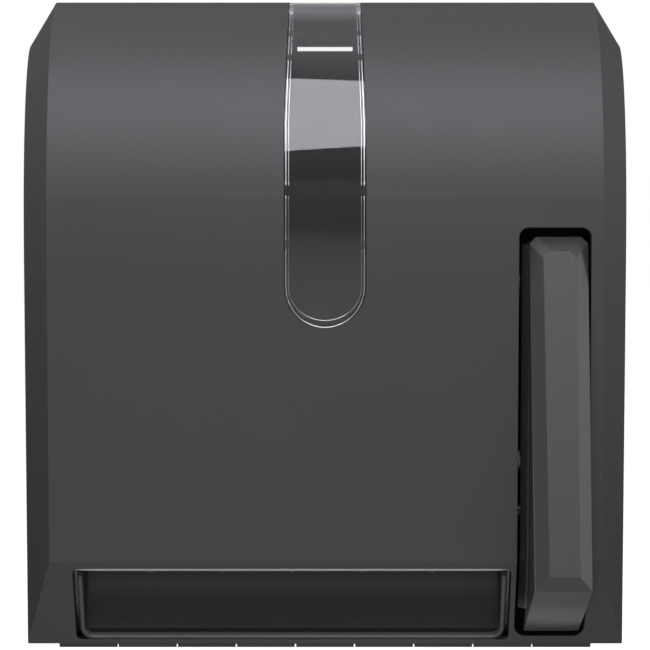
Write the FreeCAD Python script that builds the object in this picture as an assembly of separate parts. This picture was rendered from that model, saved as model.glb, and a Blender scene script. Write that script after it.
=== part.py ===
import FreeCAD, Part
import math
import os

# A wall-hung paper towel dispenser worked by a long push lever. It is seen from the front with X to the right, Y
# towards the wall and Z up. The origin is the middle of the wall screw pattern, on the back face. Sizes are in mm.

# Casing seen from the side: flat top, elliptical brow, a face that leans back and a steeper slope at the foot
casing_width = 330.0
casing_depth = 225.0
casing_top = 181.0
casing_bottom = 177.0
brow_depth = 62.5
brow_height = 113.0
face_bend = 18.0
face_lean_degrees = 5.3
slope_height = 48.0
slope_lean_degrees = 31.6
bevel_width = 14.8
bevel_depth = 24.2
overrun = 6.0

# Front cover and its seam with the housing
cover_wall = 3.0
rim_depth = 28.0
seam_gap = 0.8

# Towel mouth, its inner lip and the small guard ribs under its upper rim
mouth_margin = 27.0
mouth_drop = 133.0
mouth_rail = 2.4
mouth_radius = 3.0
lip_wall = 2.8
lip_depth = 8.0
lip_lift = 9.0
guard_count = 5
guard_end_gap = 42.9
guard_size = 2.2

# Lever slot in the cover and the wall round it
slot_width = 39.0
slot_margin = 21.4
slot_strip = 2.8
slot_top = 52.5
slot_rail = 4.5
slot_top_radius = 5.4
slot_foot_radius = 6.5
slot_wall_depth = 12.0

# Sight window
window_half = 22.2
window_top_half = 19.8
window_arch_height = 20.4
window_taper_height = 110.0
window_reach = 8.0
window_gap = 0.25
window_pane = 2.2
window_frame = 1.8
window_frame_depth = 4.6
window_tab_count = 4
window_tab_length = 8.0
window_tab_reach = 3.0
window_tab_first = 32.0
window_tab_pitch = 38.0

# Rear housing
rim_wall = 3.0
back_wall = 3.0
step_depth = 18.0
step_wall = 2.5
step_gap = 0.4
tray_wall = 2.6
tray_side_gap = 0.7
pad_height = 4.0
rib_wall = 2.0
rib_height = 5.0
rib_length = 84.0
rib_top = -66.0
rib_count = 5
rib_pitch = 30.0
sight_slot_width = 34.4
sight_slot_height = 3.0
sight_slot_drop = 8.2
wall_hole_radius = 2.75
wall_pad_radius = 9.0
wall_hole_margin = 65.0
wall_hole_half_z = 110.0

# Bottom hinge: nine knuckles on one rod, held in turn by the housing and the cover
knuckle_count = 9
knuckle_margin = 16.6
knuckle_gap = 0.85
knuckle_radius = 2.7
knuckle_setback = 6.4
knuckle_drop = 0.1
knuckle_web = 4.1
knuckle_web_share = 0.33
knuckle_notch = 5.4
hinge_rod_radius = 1.2
hinge_rod_gap = 0.05

# Plate frames that carry the feed works
frame_wall = 3.0
frame_inset = 16.0
frame_foot_gap = 2.4
frame_mouth_gap = 0.9
frame_top = -60.0
frame_tall_top = 44.0
frame_flange = 14.0
flange_wall = 2.5
lever_frame_side = 4.0
lever_frame_foot = -132.0
frame_opening_margin = 17.0
frame_opening_radius = 8.0
frame_opening_top_drop = 14.0
screw_shank = 1.9
screw_gap = 0.1
screw_head = 3.6
screw_head_height = 2.0
screw_edge = 14.0
screw_seat_share = 0.33

# Towel roll arms and hubs
roll_depth = 113.0
roll_height = 60.0
roll_margin = 19.9
roll_side_gap = 1.5
arm_wall = 3.5
arm_half_height = 15.0
arm_root_half_height = 26.0
arm_flange = 12.0
arm_pin_depth = 16.0
arm_pin_radius = 2.0
arm_pin_gap = 0.05
arm_barrel_radius = 4.6
arm_barrel_length = 12.0
arm_ear_wall = 3.0
arm_ear_gap = 0.3
arm_swing_gap = 3.0
hub_plug_radius = 18.4
hub_plug_length = 15.0
hub_taper = 3.4
hub_taper_length = 6.0
hub_flange_radius = 24.0
hub_flange_wall = 2.0
hub_floor_share = 2.0
hub_bore_gap = 0.06
hub_stud_radius = 4.0
hub_gap = 0.3
hub_slot_width = 3.0
hub_slot_count = 3

# Feed roller
feed_depth = 150.0
feed_drop = 105.0
feed_shaft_radius = 4.0
feed_core_radius = 13.4
feed_core_wall = 2.4
feed_web_wall = 3.0
feed_sleeve_radius = 16.0
feed_sleeve_length = 44.0
feed_sleeve_end_gap = 22.0
feed_end_gap = 5.0
bush_radius = 7.0
bush_flange_radius = 9.0
bush_flange_wall = 1.2
running_gap = 0.05

# Gear train from the lever to the feed roller
gear_module = 1.25
pressure_degrees = 25.0
gear_backlash = 0.3
sector_teeth_behind = 2
sector_teeth_ahead = 9
pinion_teeth = 14
wheel_teeth = 32
feed_teeth = 16
idler_lift_degrees = 72.16
gear_face = 6.0
gear_side_gap = 1.0
sector_rim = 7.0
sector_hub_radius = 13.0
sector_window_share = 2.6
sector_spoke = 7.0
idler_pin_radius = 3.0
idler_boss_radius = 5.0
dedendum_share = 1.25
gear_web_wall = 2.4
gear_web_rim = 3.4

# Lever
lever_pivot_depth = 180.0
lever_pivot_height = 25.0
lever_left_gap = 5.9
lever_right_gap = 1.5
lever_left_draw = 1.5
lever_top_gap = 4.8
lever_top_setback = 6.0
lever_ridge_drop = 141.6
lever_ridge_reach = 19.0
lever_foot_depth = 166.0
lever_foot_drop = 171.5
lever_foot_wall = 3.7
lever_wall = 2.4
lever_flat_height = 6.5
lever_flat_left = 6.9
lever_flat_right = 7.1
lever_flat_top = 9.2
lever_flat_foot = 7.3
lever_corner_cut = 3.6
lever_cheek_depth = 23.0
lever_knee_share = 2.0
lever_cheek_share = 2.0
lever_hub_radius = 10.0
lever_hub_share = 0.8
lever_tube_radius = 7.0
lever_boss_radius = 6.5
lever_pin_radius = 4.0
lever_rib_count = 4
lever_rib_depth = 16.0
lever_rib_wall = 2.0
lever_lug_length = 12.0
lever_lug_height = 7.0
lever_skirt_width = 3.4
lever_skirt_start = 6.0
lever_skirt_end = 14.8
lever_skirt_drop = 28.0
pin_head_height = 1.6
clip_wall = 1.0
clip_width = 2.4
clip_mouth_share = 0.7
pin_end = 2.6
sector_screw_drop = 22.0
sector_lug_half = 30.0
sector_lug_share = 0.6
sector_screw_margin = 2.0

# Lever bumper
bumper_radius = 4.0
bumper_height = 5.0
bumper_gap = 0.3
bumper_shelf_wall = 2.5
bumper_shelf_length = 12.0

# Pinch rollers that press the towel on the feed roller
pinch_pivot_depth = 184.0
pinch_pivot_drop = 74.0
pinch_rod_radius = 2.5
pinch_roller_radius = 8.0
pinch_nip_gap = 0.3
pinch_roller_length = 40.0
pinch_shaft_radius = 2.0
pinch_cheek_wall = 2.5
pinch_cheek_gap = 9.0
pinch_cheek_radius = 6.0
pinch_bar_depth = 4.0
pinch_bar_height = 16.0
pinch_bar_lead = 6.5

# Paper chute
chute_side_gap = 1.5
chute_wall = 2.2
chute_inset = 9.0
chute_top_gap = 3.0
chute_back_lead = 4.0
chute_foot_lead = 0.5
chute_foot_lift = 0.5
chute_radius = 7.0
chute_boss_radius = 4.0
chute_boss_lead = 17.0
chute_boss_drop = 30.0
chute_boss_shares = (0.4, 1.0)
chute_tear_gap = 1.5

# Tear bar
tear_wall = 1.2
tear_height = 15.0
tear_screw_share = 0.33
tear_inset = 14.0
tear_tip_drop = 0.3
tear_tooth_pitch = 5.0
tear_tooth_height = 2.6
tear_tab_depth = 16.0
tear_side_gap = 0.3

# Torsion springs
lever_spring_wire = 0.6
lever_spring_turns = 3
lever_spring_leg = 16.0
arm_spring_wire = 0.6
arm_spring_turns = 4
arm_spring_leg = 12.0
pinch_spring_wire = 0.5
pinch_spring_turns = 4
pinch_spring_leg = 12.0
spring_gap = 0.6
spring_coil_gap = 0.3
wire_sides = 6
spring_end_gap = 0.3

# Lock and its catch
lock_margin = 70.0
lock_depth = 60.0
lock_sleeve_radius = 9.5
lock_flange_radius = 12.0
lock_flange_wall = 1.5
lock_sleeve_length = 24.0
lock_plug_radius = 7.2
lock_plug_gap = 0.05
lock_key_width = 1.2
lock_key_length = 8.0
lock_key_depth = 6.0
lock_stem_radius = 3.0
lock_cam_wall = 2.5
nut_sides = 6
lock_cam_half = 6.0
lock_cam_length = 26.0
lock_cam_gap = 0.5
catch_wall = 2.5
catch_width = 16.0
catch_side_gap = 7.0
catch_front_gap = 1.5
catch_under_gap = 2.0
catch_lip_height = 10.0
catch_foot_height = 22.0

V = FreeCAD.Vector

# Places worked out from the sizes
lean = math.radians(face_lean_degrees)
slope = math.radians(slope_lean_degrees)
bevel_turn = math.atan2(bevel_depth, bevel_width)
half_width = casing_width / 2
half_face = half_width - bevel_width
front_y = -casing_depth
brow_y = front_y + brow_depth
brow_z = casing_top - brow_height
bend_radius = face_bend / math.tan(lean / 2)
knee_z = slope_height - casing_bottom
bend_y = front_y + bend_radius * (1 - math.cos(lean))
bend_z = brow_z - bend_radius * math.sin(lean)
knee_y = bend_y + (bend_z - knee_z) * math.tan(lean)
foot_y = knee_y + slope_height * math.tan(slope)
seam_y = -rim_depth - seam_gap
hinge_y = foot_y + knuckle_setback
hinge_z = -casing_bottom - knuckle_drop
mouth_left = mouth_margin - half_width
slot_right = half_width - slot_margin
slot_left = slot_right - slot_width
mouth_right = slot_left - slot_strip
mouth_middle = (mouth_left + mouth_right) / 2
mouth_top = -mouth_drop
mouth_foot = mouth_rail - casing_bottom
slot_foot = slot_rail - casing_bottom
tray_top = tray_wall - casing_bottom
pad_y = -back_wall - pad_height
frame_foot = tray_top + frame_foot_gap
frame_left_x = mouth_left + frame_mouth_gap - frame_wall
frame_right_x = mouth_right - frame_mouth_gap
roll_width = mouth_right - mouth_left - 2 * roll_margin
knuckle_span = casing_width - 2 * knuckle_margin
wall_hole_half_x = half_width - wall_hole_margin
lock_x = half_width - lock_margin
pivot_y = -lever_pivot_depth
pivot_z = lever_pivot_height
feed_y = -feed_depth
feed_z = -feed_drop
roll_y = -roll_depth
roll_z = roll_height


def box(x0, x1, y0, y1, z0, z1):
    return Part.makeBox(x1 - x0, y1 - y0, z1 - z0, V(x0, y0, z0))


def rod(x0, x1, y, z, radius):
    """Cylinder along X."""
    return Part.makeCylinder(radius, x1 - x0, V(x0, y, z), V(1, 0, 0))


def stud(x, z, y0, y1, radius):
    """Cylinder along Y."""
    return Part.makeCylinder(radius, y1 - y0, V(x, y0, z), V(0, 1, 0))


def pillar(x, y, z0, z1, radius):
    """Cylinder along Z."""
    return Part.makeCylinder(radius, z1 - z0, V(x, y, z0))


def fuse(shapes):
    return shapes[0].multiFuse(shapes[1:]).removeSplitter() if len(shapes) > 1 else shapes[0]


def slab(corners, axis, start, end):
    """Prism along axis of the outline through corners (u, v, radius), each corner rounded by its radius. The two
    outline coordinates are the two directions other than axis, in X, Y, Z order."""
    place = {"X": lambda u, v: V(start, u, v), "Y": lambda u, v: V(u, start, v), "Z": lambda u, v: V(u, v, start)}
    points = [place[axis](u, v) for u, v, radius in corners]
    entries, middles, exits = [], [], []
    for index, (u, v, radius) in enumerate(corners):
        point = points[index]
        back = (points[index - 1] - point).normalize()
        ahead = (points[(index + 1) % len(points)] - point).normalize()
        half_turn = back.getAngle(ahead) / 2
        reach = radius / math.tan(half_turn)
        entries.append(point + back * reach)
        exits.append(point + ahead * reach)
        middles.append(point + (back + ahead).normalize() * (radius / math.sin(half_turn) - radius))
    edges = []
    for index, (u, v, radius) in enumerate(corners):
        if radius > 0:
            edges.append(Part.Arc(entries[index], middles[index], exits[index]).toShape())
        edges.append(Part.LineSegment(exits[index], entries[(index + 1) % len(corners)]).toShape())
    length = {"X": V(end - start, 0, 0), "Y": V(0, end - start, 0), "Z": V(0, 0, end - start)}
    return Part.Face(Part.Wire(edges)).extrude(length[axis])


def plain(points):
    """The same points as sharp corners."""
    return [(u, v, 0) for u, v in points]


def profile_wire(inset, x, back, bottom):
    """Side outline of the casing at x, with its skin moved in by inset and its lower slope left off."""
    top = casing_top - inset
    front = front_y + inset
    centre = V(x, brow_y, brow_z)
    ellipse = Part.Ellipse(V(x, brow_y, top), V(x, front, brow_z), centre)
    bend_middle = V(x, front_y + bend_radius, brow_z)
    radius = bend_radius - inset

    def bend_point(angle):
        return bend_middle + V(0, -radius * math.cos(angle), -radius * math.sin(angle))

    bend_end = bend_point(lean)
    foot = V(x, bend_end.y + (bend_end.z - bottom) * math.tan(lean), bottom)
    return Part.Wire([
        Part.LineSegment(V(x, back, bottom), V(x, back, top)).toShape(),
        Part.LineSegment(V(x, back, top), V(x, brow_y, top)).toShape(),
        Part.ArcOfEllipse(ellipse, 0, math.pi / 2).toShape(),
        Part.Arc(bend_point(0), bend_point(lean / 2), bend_end).toShape(),
        Part.LineSegment(bend_end, foot).toShape(),
        Part.LineSegment(foot, V(x, back, bottom)).toShape(),
    ])


def inner_half_face(inset):
    return half_face - inset * math.tan(bevel_turn / 2)


def inner_bevel_depth(inset):
    return bevel_depth + inset * math.tan((math.pi / 2 - bevel_turn) / 2)


def casing_form(inset, back, bottom):
    """The casing as a solid, its skin moved in by inset, from the plane Y = back and down to Z = bottom."""
    face = inner_half_face(inset)
    edge = inner_bevel_depth(inset)
    width = half_width - inset
    parts = [Part.Face(profile_wire(inset, -face, back, bottom)).extrude(V(2 * face, 0, 0))]
    for side in (-1, 1):
        wires = [profile_wire(inset, side * face, back, bottom), profile_wire(edge, side * width, back, bottom)]
        parts.append(Part.makeLoft(wires, True, True))
    form = parts[0].multiFuse(parts[1:])
    across = V(0, math.cos(slope), math.sin(slope)) * inset
    along = V(0, math.sin(slope), -math.cos(slope))
    knee = V(0, knee_y, knee_z) + across
    high = knee - along * casing_top
    low = knee + along * casing_top
    wedge = plain([(high.y, high.z), (low.y, low.z), (low.y - casing_depth, low.z), (high.y - casing_depth, high.z)])
    return form.cut(slab(wedge, "X", -casing_width, casing_width))


def section(inset, bottom, y0, y1):
    """Prism of the casing's cross-section, as the wall side shows it, between y0 and y1."""
    top = casing_top - inset
    face = inner_half_face(inset)
    shoulder = casing_top - inner_bevel_depth(inset)
    width = half_width - inset
    points = [(-width, bottom), (width, bottom), (width, shoulder), (face, top), (-face, top), (-width, shoulder)]
    return slab(plain(points), "Y", y0, y1)


def skin(outer_inset, inner_inset):
    """Layer of the casing between two insets, open at the back and the foot."""
    outer = casing_form(outer_inset, seam_y, -casing_bottom)
    return outer.cut(casing_form(inner_inset, seam_y + overrun, -casing_bottom - overrun))


def frame_prism(x0, x1, z0, z1, top_radius, foot_radius, grow):
    """Prism along Y through the whole cover front, of a rounded rectangle made larger all round by grow."""
    corners = [
        (x0 - grow, z0 - grow, foot_radius + grow), (x1 + grow, z0 - grow, foot_radius + grow),
        (x1 + grow, z1 + grow, top_radius + grow), (x0 - grow, z1 + grow, top_radius + grow),
    ]
    return slab(corners, "Y", front_y - overrun, seam_y)


def mouth_prism(grow):
    return frame_prism(mouth_left, mouth_right, mouth_foot, mouth_top, mouth_radius, mouth_radius, grow)


def slot_prism(grow):
    return frame_prism(slot_left, slot_right, slot_foot, slot_top, slot_top_radius, slot_foot_radius, grow)


def window_prism(grow):
    """Window outline: a round-ended strip up the face that narrows over the brow and stops on the top."""
    half = window_half + grow
    narrow = window_top_half + grow
    top = casing_top + overrun
    y0 = front_y - overrun
    arch = V(0, y0, window_arch_height)
    edges = [
        Part.Arc(arch + V(-half, 0, 0), arch + V(0, 0, -half), arch + V(half, 0, 0)).toShape(),
        Part.LineSegment(arch + V(half, 0, 0), V(half, y0, window_taper_height)).toShape(),
        Part.LineSegment(V(half, y0, window_taper_height), V(narrow, y0, casing_top)).toShape(),
        Part.LineSegment(V(narrow, y0, casing_top), V(narrow, y0, top)).toShape(),
        Part.LineSegment(V(narrow, y0, top), V(-narrow, y0, top)).toShape(),
        Part.LineSegment(V(-narrow, y0, top), V(-narrow, y0, casing_top)).toShape(),
        Part.LineSegment(V(-narrow, y0, casing_top), V(-half, y0, window_taper_height)).toShape(),
        Part.LineSegment(V(-half, y0, window_taper_height), arch + V(-half, 0, 0)).toShape(),
    ]
    front = Part.Face(Part.Wire(edges)).extrude(V(0, brow_y - y0, 0))
    reach = box(-narrow, narrow, brow_y, brow_y + window_reach + grow, brow_z, top)
    return front.fuse(reach)


def screws(places, axis, start, direction):
    """Screws with round heads whose undersides lie at start along axis, shanks pointing along direction."""
    made = []
    for u, v, length in places:
        if axis == "Y":
            made.append(stud(u, v, start, start + length, screw_shank).fuse(
                stud(u, v, start - screw_head_height, start, screw_head)))
        elif direction > 0:
            made.append(rod(start, start + length, u, v, screw_shank).fuse(
                rod(start - screw_head_height, start, u, v, screw_head)))
        else:
            made.append(rod(start - length, start, u, v, screw_shank).fuse(
                rod(start, start + screw_head_height, u, v, screw_head)))
    return made


def knuckle_ranges():
    """X ranges of the knuckles from left to right, in turn the housing's and the cover's."""
    pitch = knuckle_span / knuckle_count
    start = -knuckle_span / 2
    return [(start + index * pitch + knuckle_gap / 2, start + (index + 1) * pitch - knuckle_gap / 2)
            for index in range(knuckle_count)]


def hinge_bore():
    return rod(-half_width, half_width, hinge_y, hinge_z, hinge_rod_radius + hinge_rod_gap)


def front_cover():
    cover = skin(0, cover_wall)
    mouth = mouth_prism(0)
    slot = slot_prism(0)
    above_foot = box(-half_width, half_width, front_y - overrun, seam_y, lip_lift - casing_bottom, casing_top)
    lip = skin(0, lip_depth).common(mouth_prism(lip_wall)).common(above_foot)
    slot_wall = skin(0, slot_wall_depth).common(slot_prism(lip_wall)).common(above_foot)
    cover = cover.multiFuse([lip, slot_wall]).cut(mouth).cut(slot)
    guards = []
    guard_pitch = (mouth_right - mouth_left - 2 * guard_end_gap) / (guard_count - 1)
    for index in range(guard_count):
        middle = mouth_left + guard_end_gap + index * guard_pitch
        guards.append(box(middle - guard_size / 2, middle + guard_size / 2, front_y, brow_y,
                          mouth_top - guard_size, mouth_top + lip_wall))
    layer = skin(0, lip_depth)
    cover = cover.multiFuse([guard.common(layer) for guard in guards])
    cover = cover.cut(window_prism(0))
    lock_y = -lock_depth
    cover = cover.cut(pillar(lock_x, lock_y, casing_top - cover_wall - overrun, casing_top + overrun,
                             lock_sleeve_radius + running_gap))
    webs = []
    for index, (x0, x1) in enumerate(knuckle_ranges()):
        if index % 2 == 1:
            webs.append(rod(x0, x1, hinge_y, hinge_z, knuckle_radius))
            webs.append(box(x0 + knuckle_notch, x1 - knuckle_notch,
                            foot_y + knuckle_web * knuckle_web_share, hinge_y,
                            hinge_z - knuckle_radius / 2, hinge_z + knuckle_radius * knuckle_web_share))
    return cover.multiFuse(webs).removeSplitter().cut(hinge_bore())


def sight_window():
    pane = skin(running_gap, window_pane).common(window_prism(-window_gap))
    deep = skin(running_gap, window_frame_depth)
    frame = deep.common(window_prism(-window_gap).cut(window_prism(-window_gap - window_frame)))
    tabs = []
    for index in range(window_tab_count):
        z = window_tab_first + index * window_tab_pitch
        tabs.append(box(-half_face, half_face, front_y, seam_y, z, z + window_tab_length))
    below = skin(cover_wall + running_gap, window_frame_depth)
    band = below.common(window_prism(window_tab_reach).cut(window_prism(-window_gap - window_frame)))
    return fuse([pane, frame] + [band.common(tab) for tab in tabs])


def rear_housing():
    inner_bottom = tray_top
    floor = -casing_bottom
    body = section(0, floor, -back_wall, 0)
    rim = section(0, floor, -rim_depth, 0).cut(section(rim_wall, inner_bottom, -rim_depth - overrun, overrun))
    inner = step_wall + step_gap + rim_wall
    land = section(0, floor, -rim_depth, -rim_depth + step_wall).cut(
        section(inner, inner_bottom, -rim_depth - overrun, overrun))
    step = section(rim_wall + step_gap, floor, -rim_depth - step_depth, -rim_depth).cut(
        section(inner, inner_bottom, -rim_depth - step_depth - overrun, overrun))
    side = half_width - cover_wall - tray_side_gap
    tray = box(-side, side, hinge_y + knuckle_web, 0, floor, inner_bottom)
    pieces = [body, rim, land, step, tray]
    for index, (x0, x1) in enumerate(knuckle_ranges()):
        if index % 2 == 0:
            pieces.append(rod(x0, x1, hinge_y, hinge_z, knuckle_radius))
            pieces.append(box(x0, x1, hinge_y, hinge_y + knuckle_web, hinge_z, inner_bottom))
    for index in range(rib_count):
        x = (index - (rib_count - 1) / 2) * rib_pitch + mouth_middle
        pieces.append(box(x - rib_wall / 2, x + rib_wall / 2, -back_wall - rib_height, -back_wall,
                          rib_top - rib_length, rib_top))
    for x in (-wall_hole_half_x, wall_hole_half_x):
        for z in (-wall_hole_half_z, wall_hole_half_z):
            pieces.append(stud(x, z, pad_y, 0, wall_pad_radius))
    for x, z in back_screw_places():
        pieces.append(stud(x, z, pad_y, 0, frame_flange / 2 - screw_gap))
    housing = fuse(pieces)
    for x in (-wall_hole_half_x, wall_hole_half_x):
        for z in (-wall_hole_half_z, wall_hole_half_z):
            housing = housing.cut(stud(x, z, pad_y - overrun, overrun, wall_hole_radius))
    for x, z in back_screw_places():
        housing = housing.cut(stud(x, z, pad_y - overrun, overrun, screw_shank + screw_gap / 2))
    slot_z = casing_top - sight_slot_drop
    housing = housing.cut(box(-sight_slot_width / 2, sight_slot_width / 2, -back_wall - overrun, overrun,
                              slot_z - sight_slot_height / 2, slot_z + sight_slot_height / 2))
    return housing.cut(hinge_bore())


def frame_plate(x0, z0, z1):
    """Side plate that follows the casing's front from z0 to z1, its back edge on the housing's pads."""
    plate = casing_form(frame_inset, seam_y, z0 - overrun)
    plate = plate.common(box(x0, x0 + frame_wall, front_y, seam_y, z0, z1))
    return plate.fuse(box(x0, x0 + frame_wall, seam_y, pad_y, z0, z1))


def flange_screw_heights(z0, z1):
    return [z0 + screw_edge, z1 - screw_edge]


def frame_specs():
    """Each plate frame: its left face, lower and upper ends, and the X range of its back flange."""
    lever_x = slot_right + lip_wall + lever_frame_side - frame_wall
    return {
        "left_frame": (frame_left_x, frame_foot, frame_top, frame_left_x - frame_flange, frame_left_x),
        "right_frame": (frame_right_x, frame_foot, frame_tall_top,
                        frame_right_x + frame_wall, frame_right_x + frame_wall + frame_flange),
        "lever_frame": (lever_x, lever_frame_foot, frame_tall_top, lever_x - frame_flange, lever_x),
    }


def back_screw_places():
    """(x, z) of each screw into the housing's back, for the frames, the roll arms and the catch."""
    places = []
    for x0, z0, z1, flange0, flange1 in frame_specs().values():
        places += [((flange0 + flange1) / 2, z) for z in flange_screw_heights(z0, z1)]
    return places + arm_screw_places() + catch_screw_places()


def frame_openings(x0, z0, z1):
    """Rounded openings that lighten a plate between the pad edge and the shafts."""
    margin = frame_opening_margin
    back = pad_y - margin
    front = feed_y + bush_flange_radius + margin
    rows = [(z0 + margin, min(z1, frame_top) - frame_opening_top_drop)]
    if z1 > frame_top:
        rows.append((frame_top + frame_opening_top_drop / 2, z1 - margin))
    cuts = []
    for low, high in rows:
        corners = [(front, low, frame_opening_radius), (back, low, frame_opening_radius),
                   (back, high, frame_opening_radius), (front, high, frame_opening_radius)]
        cuts.append(slab(corners, "X", x0 - overrun, x0 + frame_wall + overrun))
    return cuts


def frame(name):
    x0, z0, z1, flange0, flange1 = frame_specs()[name]
    plate = frame_plate(x0, z0, z1)
    flange = box(min(flange0, x0), max(flange1, x0 + frame_wall), pad_y - flange_wall, pad_y, z0, z1)
    shape = plate.fuse(flange)
    for opening in frame_openings(x0, z0, z1):
        shape = shape.cut(opening)
    holes = [rod(x0 - overrun, x0 + frame_wall + overrun, feed_y, feed_z, bush_radius + running_gap)]
    if name == "lever_frame":
        holes += lever_frame_holes(x0)
        shape = shape.fuse(bumper_shelf(x0))
    else:
        holes += side_screw_holes(x0)
        holes.append(rod(x0 - overrun, x0 + frame_wall + overrun, pinch_y(), pinch_z(), pinch_rod_radius))
    if name == "right_frame":
        holes += lever_frame_holes(x0)
    for z in flange_screw_heights(z0, z1):
        x = (flange0 + flange1) / 2
        holes.append(stud(x, z, pad_y - flange_wall - overrun, pad_y + overrun, screw_shank + screw_gap))
    return fuse([shape]).cut(holes[0].multiFuse(holes[1:]))


def lever_frame_holes(x0):
    idler_y, idler_z = idler_place()
    return [rod(x0 - overrun, x0 + frame_wall + overrun, pivot_y, pivot_z, lever_pin_radius + running_gap),
            rod(x0 - overrun, x0 + frame_wall + overrun, idler_y, idler_z, idler_pin_radius + running_gap)]


def side_screw_places():
    """(y, z) of the screws through the side frames: two for the chute and one for the tear bar on each side."""
    tab_y = tear_front() + tear_tab_depth - screw_edge * tear_screw_share
    return chute_boss_places() + [(tab_y, tear_top() - tear_height * tear_screw_share)]


def side_screw_holes(x0):
    return [rod(x0 - overrun, x0 + frame_wall + overrun, y, z, screw_shank + screw_gap)
            for y, z in side_screw_places()]


def frame_screws():
    """Screws that hold the three frames, the roll arms and the catch to the housing."""
    made = []
    for x, z in back_screw_places():
        made += screws([(x, z, flange_wall - pad_y - back_wall * screw_seat_share)], "Y", pad_y - flange_wall, 1)
    return Part.makeCompound(made)


def gear_flank(teeth):
    """(radius, half tooth angle) pairs from the root to the tip of an involute tooth."""
    pitch = gear_module * teeth / 2
    pressure = math.radians(pressure_degrees)
    base = pitch * math.cos(pressure)

    def half_angle(radius):
        turn = math.acos(min(1, base / radius))
        involute = math.tan(turn) - turn
        at_pitch = math.tan(pressure) - pressure
        return math.pi / 2 / teeth - gear_backlash / 4 / pitch + at_pitch - involute

    root = pitch - dedendum_share * gear_module
    tip = pitch + gear_module
    radii = [root, base, pitch, tip] if base > root else [root, pitch, tip]
    return [(radius, half_angle(max(base, radius))) for radius in radii]


def tooth_points(teeth, centre_y, centre_z, angles):
    """Outline points of teeth centred on the given angles, from one tooth's foot round to the next."""
    flank = gear_flank(teeth)
    points = []
    for angle in angles:
        both = [(radius, angle - half) for radius, half in flank] + [(r, angle + half) for r, half in flank[::-1]]
        points += [(centre_y + radius * math.cos(turn), centre_z + radius * math.sin(turn)) for radius, turn in both]
    return points


def gear(teeth, x0, y, z, first_angle, boss_radius, bore):
    """Spur gear with a tooth centred on first_angle and a thinner web between its rim and boss."""
    step = 2 * math.pi / teeth
    points = tooth_points(teeth, y, z, [first_angle + index * step for index in range(teeth)])
    blank = slab(plain(points), "X", x0, x0 + gear_face)
    rim = gear_module * teeth / 2 - dedendum_share * gear_module - gear_web_rim
    if rim > boss_radius + gear_web_rim:
        side = (gear_face - gear_web_wall) / 2
        for start in (x0, x0 + gear_face - side):
            ring = rod(start, start + side, y, z, rim).cut(rod(start, start + side, y, z, boss_radius))
            blank = blank.cut(ring)
    return blank.cut(rod(x0 - overrun, x0 + gear_face + overrun, y, z, bore))


def idler_to_feed():
    return gear_module * (wheel_teeth + feed_teeth) / 2


def sector_teeth():
    """Teeth of the sector's whole circle, as many as bring it to the idler from where the lever turns."""
    lift = math.radians(idler_lift_degrees)
    idler_y = feed_y + idler_to_feed() * math.cos(lift)
    idler_z = feed_z + idler_to_feed() * math.sin(lift)
    reach = math.hypot(idler_y - pivot_y, idler_z - pivot_z)
    return round(2 * reach / gear_module) - pinion_teeth


def idler_place():
    """Centre of the idler, in mesh with both the sector and the feed pinion, on the wall side of their line."""
    to_pivot = gear_module * (sector_teeth() + pinion_teeth) / 2
    to_feed = idler_to_feed()
    dy = feed_y - pivot_y
    dz = feed_z - pivot_z
    apart = math.hypot(dy, dz)
    along = (to_pivot ** 2 - to_feed ** 2 + apart ** 2) / (2 * apart)
    aside = math.sqrt(to_pivot ** 2 - along ** 2)
    return (pivot_y + (along * dy - aside * dz) / apart, pivot_z + (along * dz + aside * dy) / apart)


def sector_x():
    """Left face of the sector, clear of the cheek, whose inner face leans in towards the foot."""
    return slot_left + lever_left_gap + lever_wall + lever_left_draw


def wheel_x():
    return sector_x() + gear_face + gear_side_gap


def lever_frame_x():
    return frame_specs()["lever_frame"][0]


def idler_gear():
    y, z = idler_place()
    to_pivot = math.atan2(pivot_z - z, pivot_y - y)
    to_feed = math.atan2(feed_z - z, feed_y - y)
    bore = idler_pin_radius + running_gap
    pinion = gear(pinion_teeth, sector_x(), y, z, to_pivot + math.pi / pinion_teeth, idler_boss_radius, bore)
    wheel = gear(wheel_teeth, wheel_x(), y, z, to_feed, idler_boss_radius, bore)
    left = frame_right_x + frame_wall + spring_gap
    boss = rod(left, lever_frame_x() - spring_gap, y, z, idler_boss_radius).cut(
        rod(left - overrun, lever_frame_x() + overrun, y, z, bore))
    return fuse([boss, pinion, wheel])


def headed_pin(y, z, radius):
    """Pin through the right and lever frames, its head outside the right frame."""
    start = frame_right_x
    end = lever_frame_x() + frame_wall + pin_end
    return rod(start, end, y, z, radius).fuse(rod(start - pin_head_height, start, y, z, radius + pin_head_height))


def pin_clips():
    idler_y, idler_z = idler_place()
    start = lever_frame_x() + frame_wall
    made = []
    for y, z, radius in ((pivot_y, pivot_z, lever_pin_radius), (idler_y, idler_z, idler_pin_radius)):
        ring = rod(start, start + clip_wall, y, z, radius + clip_width).cut(
            rod(start, start + clip_wall, y, z, radius + running_gap))
        half = radius * clip_mouth_share
        mouth = box(start - overrun, start + overrun, y - half, y + half, z, z + radius + overrun)
        made.append(ring.cut(mouth))
    return Part.makeCompound(made)


def feed_pinion():
    idler_y, idler_z = idler_place()
    to_idler = math.atan2(idler_z - feed_z, idler_y - feed_y)
    return gear(feed_teeth, wheel_x(), feed_y, feed_z, to_idler + math.pi / feed_teeth, feed_shaft_radius,
                feed_shaft_radius)


def roller_ends():
    left = frame_left_x + frame_wall + feed_end_gap
    right = frame_right_x - feed_end_gap
    return left, right


def feed_shaft():
    return rod(frame_left_x - pin_end, lever_frame_x() + frame_wall + pin_end, feed_y, feed_z, feed_shaft_radius)


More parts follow.
